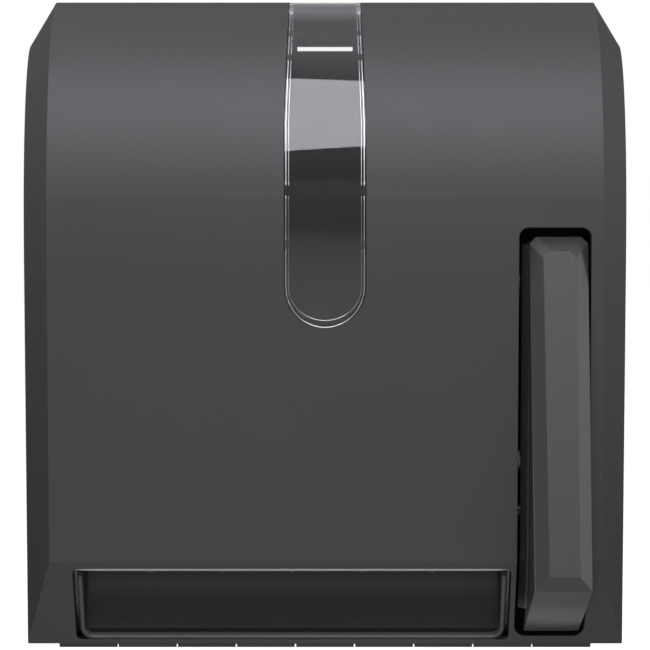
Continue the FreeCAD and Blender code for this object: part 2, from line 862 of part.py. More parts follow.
def feed_core():
    left, right = roller_ends()
    tube = rod(left, right, feed_y, feed_z, feed_core_radius).cut(
        rod(left - overrun, right + overrun, feed_y, feed_z, feed_core_radius - feed_core_wall))
    middle = (left + right) / 2
    webs = [rod(x, x + feed_web_wall, feed_y, feed_z, feed_core_radius - feed_core_wall / 2)
            for x in (left, middle - feed_web_wall / 2, right - feed_web_wall)]
    return fuse([tube] + webs).cut(rod(left - overrun, right + overrun, feed_y, feed_z, feed_shaft_radius))


def sleeve_middles():
    left, right = roller_ends()
    reach = feed_sleeve_end_gap + feed_sleeve_length / 2
    return [left + reach, (left + right) / 2, right - reach]


def rubber_sleeves():
    made = []
    for x in sleeve_middles():
        x0 = x - feed_sleeve_length / 2
        made.append(rod(x0, x0 + feed_sleeve_length, feed_y, feed_z, feed_sleeve_radius).cut(
            rod(x0, x0 + feed_sleeve_length, feed_y, feed_z, feed_core_radius)))
    return Part.makeCompound(made)


def feed_bushes():
    """Flanged bushes in the three frames, their flanges against the inner faces."""
    made = []
    for x0, side in ((frame_left_x, 1), (frame_right_x, -1), (lever_frame_x(), -1)):
        face = x0 + frame_wall if side > 0 else x0
        flange0 = face if side > 0 else face - bush_flange_wall
        bush = rod(x0, x0 + frame_wall, feed_y, feed_z, bush_radius).fuse(
            rod(flange0, flange0 + bush_flange_wall, feed_y, feed_z, bush_flange_radius))
        made.append(bush.cut(rod(x0 - overrun, x0 + frame_wall + overrun, feed_y, feed_z,
                                 feed_shaft_radius + running_gap)))
    return Part.makeCompound(made)


def lever_points():
    """Side outline of the lever in (y, z): its top edge, ridge and foot, and the lean of its front."""
    top = V(0, front_y + lever_top_setback, slot_top - lever_top_gap)
    ridge = V(0, front_y - lever_ridge_reach, -lever_ridge_drop)
    foot = V(0, -lever_foot_depth, -lever_foot_drop)
    return top, ridge, foot


def lever_side(inset):
    """Prism of the lever's side outline between its cheeks, moved in from the front by inset and open behind."""
    top, ridge, foot = lever_points()
    down = (ridge - top).normalize()
    inward = V(0, -down.z, down.y)
    under = (foot - ridge).normalize()
    upward = V(0, -under.z, under.y)
    turn = down.getAngle(under) / 2
    top_in = top + inward * inset - V(0, 0, inset)
    ridge_in = ridge + inward * inset - down * (inset * math.tan(turn))
    foot_in = foot + upward * inset + under * overrun * (1 if inset > 0 else 0)
    if inset > 0:
        behind = -lever_foot_depth + lever_foot_wall + overrun
        return slab(plain([(top_in.y, top_in.z), (ridge_in.y, ridge_in.z), (foot_in.y, foot_in.z),
                           (behind + lever_pivot_depth, foot_in.z), (behind + lever_pivot_depth, top_in.z)]),
                    "X", lever_left() - overrun, lever_right() + overrun)
    lip = foot + upward * lever_foot_wall
    knee = ridge + inward * lever_cheek_depth * lever_knee_share - down * lever_foot_wall
    cheek = top + inward * lever_cheek_depth + down * sector_lug_half * lever_cheek_share
    outline = [(top.y, top.z), (ridge.y, ridge.z), (foot.y, foot.z), (lip.y, lip.z), (knee.y, knee.z),
               (cheek.y, cheek.z), (pivot_y - lever_hub_radius / 2, pivot_z - lever_hub_radius * lever_hub_share),
               (pivot_y, pivot_z + lever_hub_radius), (top.y + lever_cheek_depth, top.z)]
    hub = rod(lever_left(), lever_right(), pivot_y, pivot_z, lever_hub_radius)
    return slab(plain(outline), "X", lever_left(), lever_right()).fuse(hub)


def lever_left():
    return slot_left + lever_left_gap


def lever_right():
    return slot_right - lever_right_gap


def lever_front_outline(inset, extra_drop):
    """Front outline of the lever as (x, distance down its front) corners, with its upper corners cut."""
    top, ridge, foot = lever_points()
    length = (ridge - top).Length
    left = lever_left()
    right = lever_right()
    cut = lever_corner_cut
    return [(left + inset, cut + inset), (left + inset + cut, inset), (right - inset - cut, inset),
            (right - inset, cut + inset), (right - inset, length - inset + extra_drop),
            (left + lever_left_draw + inset, length - inset + extra_drop)]


def lever_face_wire(corners, height):
    """Wire through corners of the lever's front outline, raised by height from the plane of its outer edges."""
    top, ridge, foot = lever_points()
    down = (ridge - top).normalize()
    outward = V(0, down.z, -down.y)
    places = [top + down * drop + outward * height + V(x, 0, 0) for x, drop in corners]
    return Part.makePolygon(places + places[:1])


def lever_crown(wall):
    """Bevelled front of the lever, from the plane of its outer edges to its flat, moved in by wall."""
    side = math.atan2(lever_flat_height, (lever_flat_left + lever_flat_right) / 2)
    flat_inset = wall * math.tan(side / 2)
    base_inset = wall
    base_height = -wall * (1 - math.cos(side)) / math.sin(side)
    base = lever_front_outline(base_inset, 0)
    left, right = base[0][0], base[3][0]
    top, foot = base[1][1], base[4][1]
    draw = base[5][0] - left
    x0 = left + lever_flat_left - base_inset + flat_inset
    x1 = right - lever_flat_right + base_inset - flat_inset
    z0 = top + lever_flat_top - base_inset + flat_inset
    z1 = foot - lever_flat_foot + base_inset - flat_inset
    cut = lever_corner_cut
    flat = [(x0, z0 + cut), (x0 + cut, z0), (x1 - cut, z0), (x1, z0 + cut), (x1, z1), (x0 + draw, z1)]
    height = lever_flat_height - wall
    return Part.makeLoft([lever_face_wire(base, base_height), lever_face_wire(flat, height)], True, True)


def lever_paddle():
    top, ridge, foot = lever_points()
    below = lever_foot_drop
    front = lever_front_outline(0, below)
    outline = [(x, top.z - drop) for x, drop in front]
    through = slab(plain(outline), "Y", front_y - casing_depth, 0)
    inner = [(x, top.z - drop) for x, drop in lever_front_outline(lever_wall, below)]
    inside = slab(plain(inner), "Y", front_y - casing_depth, 0)
    solid = lever_side(0).common(through).fuse(lever_crown(0))
    hollow = lever_side(lever_wall).common(inside)
    shell = solid.cut(hollow).cut(lever_crown(lever_wall))
    ribs = []
    down = (ridge - top).normalize()
    inward = V(0, -down.z, down.y)
    for index in range(lever_rib_count):
        middle = top + down * ((ridge - top).Length * (index + 1) / (lever_rib_count + 1))
        near = middle - inward * (lever_flat_height - lever_wall / 2)
        far = middle + inward * lever_rib_depth
        ribs.append(slab(plain([(near.y, near.z), (far.y, far.z), (far.y, far.z - lever_rib_wall),
                                (near.y, near.z - lever_rib_wall)]), "X",
                         sector_x() + lever_flat_left, lever_right() - lever_flat_right))
    tube = rod(lever_left(), lever_right(), pivot_y, pivot_z, lever_tube_radius)
    left_boss = rod(frame_right_x + frame_wall + spring_gap, lever_left(), pivot_y, pivot_z, lever_boss_radius)
    right_boss = rod(lever_right(), lever_frame_x() - spring_gap, pivot_y, pivot_z, lever_boss_radius)
    lug = box(lever_right() - lever_wall, lever_right(), pivot_y, pivot_y + lever_hub_radius + lever_lug_length,
              pivot_z - lever_lug_height, pivot_z)
    seats = [rod(lever_left() + lever_wall / 2, sector_x(), y, z, screw_head) for y, z in sector_screw_places()]
    shape = fuse([shell, tube, left_boss, right_boss, lug, lever_skirt()] + ribs + seats)
    shape = shape.cut(rod(frame_right_x, lever_frame_x(), pivot_y, pivot_z, lever_pin_radius + running_gap))
    for y, z in sector_screw_places():
        shape = shape.cut(rod(lever_left() - overrun, sector_x() + overrun, y, z, screw_shank + screw_gap))
    return shape


def face_at(z):
    """Y of the cover's front face at height z, below its bend."""
    return bend_y + (bend_z - z) * math.tan(lean) if z > knee_z else knee_y + (knee_z - z) * math.tan(slope)


def lever_skirt():
    """Wedge on the lever's left cheek that widens behind the cover's face and fills the gap beside the lever."""
    x = lever_left()
    wires = []
    for z in (knee_z - lever_skirt_drop, knee_z, lever_points()[0].z - lever_corner_cut):
        y0 = face_at(z) + lever_skirt_start
        y1 = face_at(z) + lever_skirt_end
        places = [V(x + lever_wall, y0, z), V(x, y0, z), V(x - lever_skirt_width, y1, z), V(x + lever_wall, y1, z)]
        wires.append(Part.makePolygon(places + places[:1]))
    return Part.makeLoft(wires, True, True)


def sector_lug_front():
    return lever_points()[0].y + lever_cheek_depth * sector_lug_share


def sector_screw_places():
    """(y, z) of the two screws through the lever's left cheek, close behind its front."""
    y = sector_lug_front() + screw_head + sector_screw_margin
    return [(y, pivot_z + lever_hub_radius / 4), (y, pivot_z - sector_screw_drop)]


def lever_sector():
    """Toothed sector on the lever's left cheek, as one toothed arc on two spokes with a lug for its screws."""
    idler_y, idler_z = idler_place()
    toward = math.atan2(idler_z - pivot_z, idler_y - pivot_y)
    step = 2 * math.pi / sector_teeth()
    angles = [toward + index * step for index in range(-sector_teeth_ahead, sector_teeth_behind + 1)]
    teeth = tooth_points(sector_teeth(), pivot_y, pivot_z, angles)
    x0 = sector_x()
    blank = slab(plain([(pivot_y, pivot_z)] + teeth), "X", x0, x0 + gear_face)
    hub = rod(x0, x0 + gear_face, pivot_y, pivot_z, sector_hub_radius)
    root = gear_module * sector_teeth() / 2 - dedendum_share * gear_module

    def at(radius, angle, aside):
        return (pivot_y + radius * math.cos(angle) - aside * math.sin(angle),
                pivot_z + radius * math.sin(angle) + aside * math.cos(angle))

    near = sector_hub_radius * sector_window_share
    far = root - sector_rim
    window = [at(near, angles[0], sector_spoke), at(far, angles[0], sector_spoke),
              at(far, angles[-1], -sector_spoke), at(near, angles[-1], -sector_spoke)]
    lug = slab([(sector_lug_front(), pivot_z - sector_lug_half, sector_spoke / 2),
                (pivot_y, pivot_z - sector_lug_half, sector_spoke / 2),
                (pivot_y, pivot_z + sector_hub_radius / 2, 0),
                (sector_lug_front(), pivot_z + sector_hub_radius / 2, sector_spoke / 2)],
               "X", x0, x0 + gear_face)
    shape = fuse([blank, hub, lug]).cut(slab(plain(window), "X", x0 - overrun, x0 + gear_face + overrun))
    shape = shape.cut(rod(x0 - overrun, x0 + gear_face + overrun, pivot_y, pivot_z, lever_tube_radius + running_gap))
    for y, z in sector_screw_places():
        shape = shape.cut(rod(x0 - overrun, x0 + gear_face + overrun, y, z, screw_shank + screw_gap / 2))
    return shape


def sector_screws():
    length = lever_wall + lever_left_draw + gear_face - screw_gap
    places = [(y, z, length) for y, z in sector_screw_places()]
    return Part.makeCompound(screws(places, "X", lever_left(), 1))


def bumper_shelf(x0):
    y0 = pivot_y + lever_hub_radius + lever_lug_length - bumper_radius * 2 - bumper_gap
    z1 = pivot_z - lever_lug_height - bumper_gap - bumper_height
    return box(lever_right() - lever_wall - overrun, x0, y0, y0 + bumper_shelf_length, z1 - bumper_shelf_wall, z1)


def lever_bumper():
    """Rubber button on a shelf of the lever frame, under the lug that stops the lever's return."""
    y = pivot_y + lever_hub_radius + lever_lug_length - bumper_radius
    top = pivot_z - lever_lug_height - bumper_gap
    return pillar(lever_right() - lever_wall / 2, y, top - bumper_height, top, bumper_radius)


def torsion_spring(coil_radius, wire, turns, first_leg, second_leg):
    """Coil about Z from Z = 0 up, with a straight leg at each end that leaves along the coil's tangent."""
    pitch = 2 * wire + spring_coil_gap
    coil = Part.Wire(Part.makeHelix(pitch, pitch * turns, coil_radius).Edges)
    step = 2 * math.pi / wire_sides
    corners = [V(coil_radius + wire * math.cos(step * k), 0, wire * math.sin(step * k)) for k in range(wire_sides)]
    profile = Part.makePolygon(corners + corners[:1])
    tube = coil.makePipeShell([profile], True, True)
    face = Part.Face(profile)
    first = face.extrude(V(0, -first_leg, 0))
    second = face.extrude(V(0, second_leg, 0)).translated(V(0, 0, pitch * turns))
    return fuse([tube, first, second])


def along_x(shape, x, y, z, roll_degrees):
    """Turns a shape built about Z so that it lies about X, rolled about that axis, and moves it to its place."""
    turned = shape.copy()
    turned.rotate(V(0, 0, 0), V(0, 0, 1), roll_degrees)
    turned.rotate(V(0, 0, 0), V(0, 1, 0), math.degrees(math.pi / 2))
    turned.translate(V(x, y, z))
    return turned


def lever_return_spring():
    wire = lever_spring_wire
    coil = torsion_spring(lever_boss_radius + wire + spring_gap, wire, lever_spring_turns, lever_spring_leg,
                          lever_spring_leg)
    return along_x(coil, frame_right_x + frame_wall + wire + spring_end_gap, pivot_y, pivot_z, 0)


def pinch_y():
    return -pinch_pivot_depth


def pinch_z():
    return -pinch_pivot_drop


def pinch_place():
    """Centre of the pinch shaft, level with the feed roller and just in front of it."""
    return feed_y - feed_sleeve_radius - pinch_roller_radius - pinch_nip_gap, feed_z


def cheek_ends():
    left = frame_left_x + frame_wall + pinch_cheek_gap
    right = frame_right_x - pinch_cheek_gap
    return left, right


def pinch_carrier():
    """Bar with a cheek at each end, hung on the pivot rod and holding the pinch shaft."""
    y, z = pinch_place()
    left, right = cheek_ends()
    pieces = []
    for x0 in (left, right - pinch_cheek_wall):
        x1 = x0 + pinch_cheek_wall
        pieces.append(rod(x0, x1, pinch_y(), pinch_z(), pinch_cheek_radius))
        pieces.append(rod(x0, x1, y, z, pinch_cheek_radius))
        across = V(0, y - pinch_y(), z - pinch_z()).normalize() * pinch_cheek_radius
        side = V(0, -across.z, across.y)
        web = [(pinch_y() + side.y, pinch_z() + side.z), (y + side.y, z + side.z),
               (y - side.y, z - side.z), (pinch_y() - side.y, pinch_z() - side.z)]
        pieces.append(slab(plain(web), "X", x0, x1))
    bar_y = pinch_y() - pinch_bar_lead / 2
    bar_z = (pinch_z() + z) / 2
    pieces.append(box(left, right, bar_y - pinch_bar_depth / 2, bar_y + pinch_bar_depth / 2,
                      bar_z - pinch_bar_height / 2, bar_z + pinch_bar_height / 2))
    holes = rod(left - overrun, right + overrun, pinch_y(), pinch_z(), pinch_rod_radius + running_gap).fuse(
        rod(left - overrun, right + overrun, y, z, pinch_shaft_radius + running_gap))
    return fuse(pieces).cut(holes)


def pinch_pivot_rod():
    return rod(frame_left_x, frame_right_x + frame_wall, pinch_y(), pinch_z(), pinch_rod_radius)


def pinch_shaft():
    y, z = pinch_place()
    left, right = cheek_ends()
    return rod(left - pin_end / 2, right + pin_end / 2, y, z, pinch_shaft_radius)


def pinch_rollers():
    y, z = pinch_place()
    made = []
    for x in sleeve_middles():
        x0 = x - pinch_roller_length / 2
        x1 = x + pinch_roller_length / 2
        made.append(rod(x0, x1, y, z, pinch_roller_radius).cut(rod(x0, x1, y, z, pinch_shaft_radius)))
    return Part.makeCompound(made)


def pinch_springs():
    made = []
    wire = pinch_spring_wire
    left, right = cheek_ends()
    length = (2 * wire + spring_coil_gap) * pinch_spring_turns
    for x in (left - length - 2 * wire - spring_gap, right + 2 * wire + spring_gap):
        coil = torsion_spring(pinch_rod_radius + wire + spring_gap, wire, pinch_spring_turns,
                              pinch_spring_leg, pinch_spring_leg)
        made.append(along_x(coil, x, pinch_y(), pinch_z(), 0))
    return Part.makeCompound(made)


def chute_back_line():
    """Top and foot of the chute's guide wall in (y, z), under the feed roller and behind the mouth's rail."""
    top = (feed_y - chute_back_lead, feed_z - feed_sleeve_radius - chute_top_gap)
    foot = (hinge_y - chute_foot_lead, chute_foot())
    return top, foot


def chute_foot():
    return hinge_z + knuckle_radius + chute_foot_lift


def chute_boss_places():
    """(y, z) of the two screws in each side wall of the chute."""
    top, foot = chute_back_line()
    return [(top[0] - chute_boss_lead * share, top[1] - chute_boss_drop * share) for share in chute_boss_shares]


def chute_trough(grow):
    """Prism along Y of the chute's U-shaped section, made smaller by grow."""
    x0 = frame_left_x + frame_wall + chute_side_gap + grow
    x1 = frame_right_x - chute_side_gap - grow
    top = chute_back_line()[0][1] + (overrun if grow > 0 else 0)
    corners = [(x0, chute_foot() + grow, chute_radius - grow), (x1, chute_foot() + grow, chute_radius - grow),
               (x1, top, 0), (x0, top, 0)]
    return slab(corners, "Y", front_y, seam_y)


def in_front_of_guide(lead):
    (top_y, top_z), (foot_y_, foot_z) = chute_back_line()
    reach = casing_depth
    along = V(0, foot_y_ - top_y, foot_z - top_z).normalize()
    high = V(0, top_y - lead, top_z) - along * reach
    low = V(0, foot_y_ - lead, foot_z) + along * reach
    return slab(plain([(high.y, high.z), (low.y, low.z), (low.y - reach, low.z), (high.y - reach, high.z)]), "X",
                -half_width, half_width)


def paper_chute():
    """U-shaped chute: side walls and a floor that follow the mouth, and a sloping guide wall behind."""
    limits = casing_form(chute_inset, seam_y, -casing_bottom - overrun)
    outer = chute_trough(0).common(limits).common(in_front_of_guide(0))
    shell = outer.cut(chute_trough(chute_wall).common(in_front_of_guide(chute_wall)))
    bosses = []
    for y, z in chute_boss_places():
        for x0, x1 in ((frame_left_x + frame_wall, frame_left_x + frame_wall + chute_side_gap + chute_wall),
                       (frame_right_x - chute_side_gap - chute_wall, frame_right_x)):
            bosses.append(rod(x0, x1, y, z, chute_boss_radius))
    tear_zone = box(-half_width, half_width, front_y, tear_front() + tear_tab_depth + chute_tear_gap,
                    mouth_top - tear_tip_drop - chute_tear_gap, 0)
    shape = fuse([shell.cut(tear_zone)] + bosses)
    for y, z in chute_boss_places():
        shape = shape.cut(rod(-half_width, half_width, y, z, screw_shank + screw_gap / 2))
    return shape


def side_screws(places, reach):
    """Screws through both side frames and reach beyond them, heads outside."""
    length = frame_wall + reach - screw_gap
    left = screws([(y, z, length) for y, z in places], "X", frame_left_x, 1)
    right = screws([(y, z, length) for y, z in places], "X", frame_right_x + frame_wall, -1)
    return Part.makeCompound(left + right)


def tear_front():
    """Front plane of the tear bar, behind the mouth's upper lip."""
    rim_y = bend_y + (bend_z - mouth_top) * math.tan(lean)
    return rim_y + tear_inset / math.cos(lean) - tear_wall


def tear_top():
    return mouth_top - tear_tip_drop + tear_height


def tear_bar():
    """Serrated steel strip between the side frames, with a tab folded back at each end."""
    x0 = frame_left_x + frame_wall + tear_side_gap
    x1 = frame_right_x - tear_side_gap
    tip = mouth_top - tear_tip_drop
    count = int((x1 - x0) / tear_tooth_pitch)
    pitch = (x1 - x0) / count
    points = [(x1, tear_top()), (x0, tear_top()), (x0, tip + tear_tooth_height)]
    for index in range(count):
        points.append((x0 + (index + 0.5) * pitch, tip))
        points.append((x0 + (index + 1) * pitch, tip + tear_tooth_height))
    front = tear_front()
    strip = slab(plain(points), "Y", front, front + tear_wall)
    tabs = [box(x, x + tear_wall, front, front + tear_tab_depth, tear_top() - tear_height / 2, tear_top())
            for x in (x0, x1 - tear_wall)]
    shape = fuse([strip] + tabs)
    y, z = side_screw_places()[-1]
    return shape.cut(rod(-half_width, half_width, y, z, screw_shank + screw_gap / 2))


def arm_x(side):
    """Inner face of the roll arm on one side, -1 for the left and 1 for the right."""
    return mouth_middle + side * (roll_width / 2 + roll_side_gap + hub_flange_wall + hub_gap)


def arm_screw_places():
    right = arm_x(1) + arm_wall / 2
    left = arm_x(-1) - arm_wall / 2
    rise = arm_root_half_height - arm_flange / 4
    return [(right - arm_flange, roll_z + rise), (right - arm_flange, roll_z - rise),
            (left + arm_flange, roll_z + rise), (left + arm_flange, roll_z - rise)]


def arm_blade(x0, root_y):
    """Tapering arm in the YZ plane with a round end about the roll's axis."""
    end = rod(x0, x0 + arm_wall, roll_y, roll_z, arm_half_height)
    web = [(root_y, roll_z - arm_root_half_height), (root_y, roll_z + arm_root_half_height),
           (roll_y, roll_z + arm_half_height), (roll_y, roll_z - arm_half_height)]
    middle = (root_y + roll_y) / 2
    hole = [(root_y - arm_half_height, roll_z - arm_half_height, arm_wall),
            (root_y - arm_half_height, roll_z + arm_half_height, arm_wall),
            (middle - arm_half_height, roll_z + arm_half_height / 2, arm_wall),
            (middle - arm_half_height, roll_z - arm_half_height / 2, arm_wall)]
    blade = slab(plain(web), "X", x0, x0 + arm_wall).fuse(end)
    return blade.cut(slab(hole, "X", x0 - overrun, x0 + arm_wall + overrun))


def hub_stud(x, side):
    """Stud on an arm's inner face that the roll hub turns on."""
    start = x if side < 0 else x - hub_stud_length()
    return rod(start, start + hub_stud_length(), roll_y, roll_z, hub_stud_radius)


def hub_stud_length():
    return hub_gap + hub_flange_wall + hub_plug_length / 2


def right_roll_arm():
    x = arm_x(1)
    blade = arm_blade(x, pad_y)
    flange = box(x - arm_flange - frame_flange / 2, x + arm_wall, pad_y - flange_wall, pad_y,
                 roll_z - arm_root_half_height - screw_head, roll_z + arm_root_half_height + screw_head)
    shape = fuse([blade, flange, hub_stud(x, 1)])
    for px, pz in arm_screw_places()[:2]:
        shape = shape.cut(stud(px, pz, pad_y - flange_wall - overrun, pad_y + overrun, screw_shank + screw_gap))
    return shape


def arm_pin_place():
    return arm_x(-1) - arm_wall / 2, -arm_pin_depth


def arm_bracket():
    """Plate on the housing's back with two ears that hold the left arm's pin."""
    x, y = arm_pin_place()
    low = roll_z - arm_root_half_height - arm_ear_wall - arm_ear_gap
    high = roll_z + arm_root_half_height + arm_ear_wall + arm_ear_gap
    plate = box(x - arm_barrel_radius, x + arm_flange + frame_flange / 2, pad_y - flange_wall, pad_y, low, high)
    pieces = [plate]
    for z0 in (low, high - arm_ear_wall):
        ear = pillar(x, y, z0, z0 + arm_ear_wall, arm_barrel_radius).fuse(
            box(x - arm_barrel_radius, x + arm_barrel_radius, y, pad_y, z0, z0 + arm_ear_wall))
        pieces.append(ear)
    shape = fuse(pieces).cut(pillar(x, y, low - overrun, high + overrun, arm_pin_radius))
    for px, pz in arm_screw_places()[2:]:
        shape = shape.cut(stud(px, pz, pad_y - flange_wall - overrun, pad_y + overrun, screw_shank + screw_gap))
    return shape


def arm_pivot_pin():
    x, y = arm_pin_place()
    reach = arm_root_half_height + arm_ear_wall + arm_ear_gap
    return pillar(x, y, roll_z - reach, roll_z + reach, arm_pin_radius)


def left_roll_arm():
    """Arm with two barrels on its pin, a gap between them for the spring, and a stud for its hub."""
    x, y = arm_pin_place()
    blade = arm_blade(x - arm_wall / 2, y - arm_barrel_radius - arm_swing_gap + arm_wall)
    pieces = [blade, hub_stud(arm_x(-1), -1)]
    for z0 in (roll_z - arm_root_half_height, roll_z + arm_root_half_height - arm_barrel_length):
        pieces.append(pillar(x, y, z0, z0 + arm_barrel_length, arm_barrel_radius))
        pieces.append(box(x - arm_wall / 2, x + arm_wall / 2, y - arm_barrel_radius - arm_swing_gap - arm_wall, y, z0,
                          z0 + arm_barrel_length))
    shape = fuse(pieces)
    reach = arm_root_half_height + overrun
    return shape.cut(pillar(x, y, roll_z - reach, roll_z + reach, arm_pin_radius + arm_pin_gap))


def arm_spring():
    x, y = arm_pin_place()
    wire = arm_spring_wire
    to_plate = flange_wall - pad_y + spring_end_gap
    coil = torsion_spring(arm_pin_radius + wire + spring_gap, wire, arm_spring_turns, arm_spring_leg,
                          arm_pin_depth - to_plate)
    length = (2 * wire + spring_coil_gap) * arm_spring_turns
    coil.translate(V(x, y, roll_z - length / 2))
    return coil


def roll_hub(side):
    """Hub that plugs into the end of the towel roll's tube: a flange, a slotted plug and a tapered nose."""
    face = arm_x(side) - side * hub_gap
    turn = -side

    def cylinder(start, length, radius):
        x0 = min(face + turn * start, face + turn * (start + length))
        return rod(x0, x0 + length, roll_y, roll_z, radius)

    nose_start = hub_flange_wall + hub_plug_length - hub_taper_length
    nose = Part.makeCone(hub_plug_radius, hub_plug_radius - hub_taper, hub_taper_length,
                         V(face + turn * nose_start, roll_y, roll_z), V(turn, 0, 0))
    shape = fuse([cylinder(0, hub_flange_wall, hub_flange_radius),
                  cylinder(0, nose_start, hub_plug_radius), nose])
    floor = hub_flange_wall * hub_floor_share
    hollow = cylinder(floor, hub_plug_length, hub_plug_radius - hub_taper - hub_flange_wall).cut(
        cylinder(0, hub_plug_length + hub_flange_wall, hub_stud_radius + hub_flange_wall))
    shape = shape.cut(hollow).cut(cylinder(-overrun, hub_stud_length() + overrun + hub_gap,
                                           hub_stud_radius + hub_bore_gap))
    for index in range(hub_slot_count):
        slot = box(min(face + turn * floor, face + turn * (hub_plug_length + overrun)),
                   max(face + turn * floor, face + turn * (hub_plug_length + overrun)),
                   roll_y - hub_slot_width / 2, roll_y + hub_slot_width / 2,
                   roll_z + hub_plug_radius / 2, roll_z + hub_plug_radius + overrun)
        slot.rotate(V(0, roll_y, roll_z), V(1, 0, 0), index * math.degrees(2 * math.pi) / hub_slot_count)
        shape = shape.cut(slot)
    return shape


def lock_foot():
    return casing_top + lock_flange_wall - lock_sleeve_length


def lock_sleeve():
    """Lock body through the top of the cover: a flange outside and a threaded barrel with its nut inside."""
    y = -lock_depth
    nut_top = casing_top - cover_wall
    body = pillar(lock_x, y, lock_foot(), casing_top, lock_sleeve_radius)
    flange = pillar(lock_x, y, casing_top, casing_top + lock_flange_wall, lock_flange_radius)
    step = 2 * math.pi / nut_sides
    nut = slab(plain([(lock_x + lock_flange_radius * math.cos(step * k),
                       y + lock_flange_radius * math.sin(step * k)) for k in range(nut_sides)]),
               "Z", nut_top - lock_cam_wall, nut_top)
    bore = pillar(lock_x, y, lock_foot() - overrun, casing_top + overrun, lock_plug_radius + lock_plug_gap)
    return fuse([body, flange, nut]).cut(bore)


def lock_plug():
    """Key plug with its key slot, and the stem that carries the cam."""
    y = -lock_depth
    top = casing_top + lock_flange_wall / 2
    plug = pillar(lock_x, y, lock_foot(), top, lock_plug_radius)
    stem = pillar(lock_x, y, lock_foot() - lock_cam_gap - lock_cam_wall, top, lock_stem_radius)
    key = box(lock_x - lock_key_width / 2, lock_x + lock_key_width / 2, y - lock_key_length / 2,
              y + lock_key_length / 2, top - lock_key_depth, top + overrun)
    return plug.fuse(stem).cut(key)


def lock_cam():
    """Tongue on the plug's stem. It points to the wall while the lock is open."""
    y = -lock_depth
    z1 = lock_foot() - lock_cam_gap
    z0 = z1 - lock_cam_wall
    tongue = slab([(lock_x - lock_cam_half, y, 0), (lock_x + lock_cam_half, y, 0),
                   (lock_x + lock_cam_half, y + lock_cam_length, lock_cam_half / 2),
                   (lock_x - lock_cam_half, y + lock_cam_length, lock_cam_half / 2)], "Z", z0, z1)
    return tongue.fuse(pillar(lock_x, y, z0, z1, lock_cam_half)).cut(
        pillar(lock_x, y, z0 - overrun, z1 + overrun, lock_stem_radius))


def catch_span():
    x0 = lock_x + lock_cam_half + catch_side_gap
    return x0, x0 + catch_width


def catch_heights():
    top = lock_foot() - lock_cam_gap - lock_cam_wall - catch_under_gap
    return top - catch_wall, top


def catch_screw_places():
    x0, x1 = catch_span()
    z0, z1 = catch_heights()
    return [((x0 + x1) / 2, z0 - catch_foot_height / 2)]


def latch_catch():
    """Steel catch on the housing: a foot, a shelf under the cam and a lip in front of the locked tongue."""
    x0, x1 = catch_span()
    z0, z1 = catch_heights()
    front = -lock_depth - lock_cam_half - catch_front_gap - catch_wall
    foot = box(x0, x1, pad_y - flange_wall, pad_y, z0 - catch_foot_height, z1)
    shelf = box(x0, x1, front, pad_y, z0, z1)
    lip = box(x0, x1, front, front + catch_wall, z0, z0 + catch_lip_height)
    x, z = catch_screw_places()[0]
    hole = stud(x, z, pad_y - flange_wall - overrun, pad_y + overrun, screw_shank + screw_gap)
    return fuse([foot, shelf, lip]).cut(hole)


def hinge_rod():
    return rod(-knuckle_span / 2 + knuckle_gap, knuckle_span / 2 - knuckle_gap, hinge_y, hinge_z, hinge_rod_radius)


def all_nodes():
    idler_y, idler_z = idler_place()
    return {
        "front_cover": front_cover(),
        "sight_window": sight_window(),
        "rear_housing": rear_housing(),
        "hinge_rod": hinge_rod(),
        "left_frame": frame("left_frame"),
        "right_frame": frame("right_frame"),
        "lever_frame": frame("lever_frame"),
        "frame_screws": frame_screws(),
        "feed_shaft": feed_shaft(),
        "feed_core": feed_core(),
        "rubber_sleeves": rubber_sleeves(),
        "feed_bushes": feed_bushes(),
        "feed_pinion": feed_pinion(),
        "idler_gear": idler_gear(),
        "idler_pin": headed_pin(idler_y, idler_z, idler_pin_radius),
        "lever_pivot_pin": headed_pin(pivot_y, pivot_z, lever_pin_radius),
        "pin_clips": pin_clips(),
        "lever_paddle": lever_paddle(),
        "lever_sector": lever_sector(),
        "sector_screws": sector_screws(),
        "lever_return_spring": lever_return_spring(),
        "lever_bumper": lever_bumper(),
        "pinch_carrier": pinch_carrier(),
        "pinch_pivot_rod": pinch_pivot_rod(),
        "pinch_shaft": pinch_shaft(),
        "pinch_rollers": pinch_rollers(),
        "pinch_springs": pinch_springs(),
        "paper_chute": paper_chute(),
        "chute_screws": side_screws(chute_boss_places(), chute_side_gap + chute_wall),
        "tear_bar": tear_bar(),
        "tear_bar_screws": side_screws(side_screw_places()[-1:], tear_side_gap + tear_wall),
        "right_roll_arm": right_roll_arm(),
        "left_roll_arm": left_roll_arm(),
        "arm_bracket": arm_bracket(),
        "arm_pivot_pin": arm_pivot_pin(),
        "arm_spring": arm_spring(),
        "left_roll_hub": roll_hub(-1),
        "right_roll_hub": roll_hub(1),
        "lock_sleeve": lock_sleeve(),
        "lock_plug": lock_plug(),
        "lock_cam": lock_cam(),
        "latch_catch": latch_catch(),
    }


os.makedirs("parts", exist_ok=True)
for node, shape in all_nodes().items():
    print(node, len(shape.Solids), shape.isValid(), round(shape.Volume))
    shape.exportStep("parts/" + node + ".step")
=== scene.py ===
import math

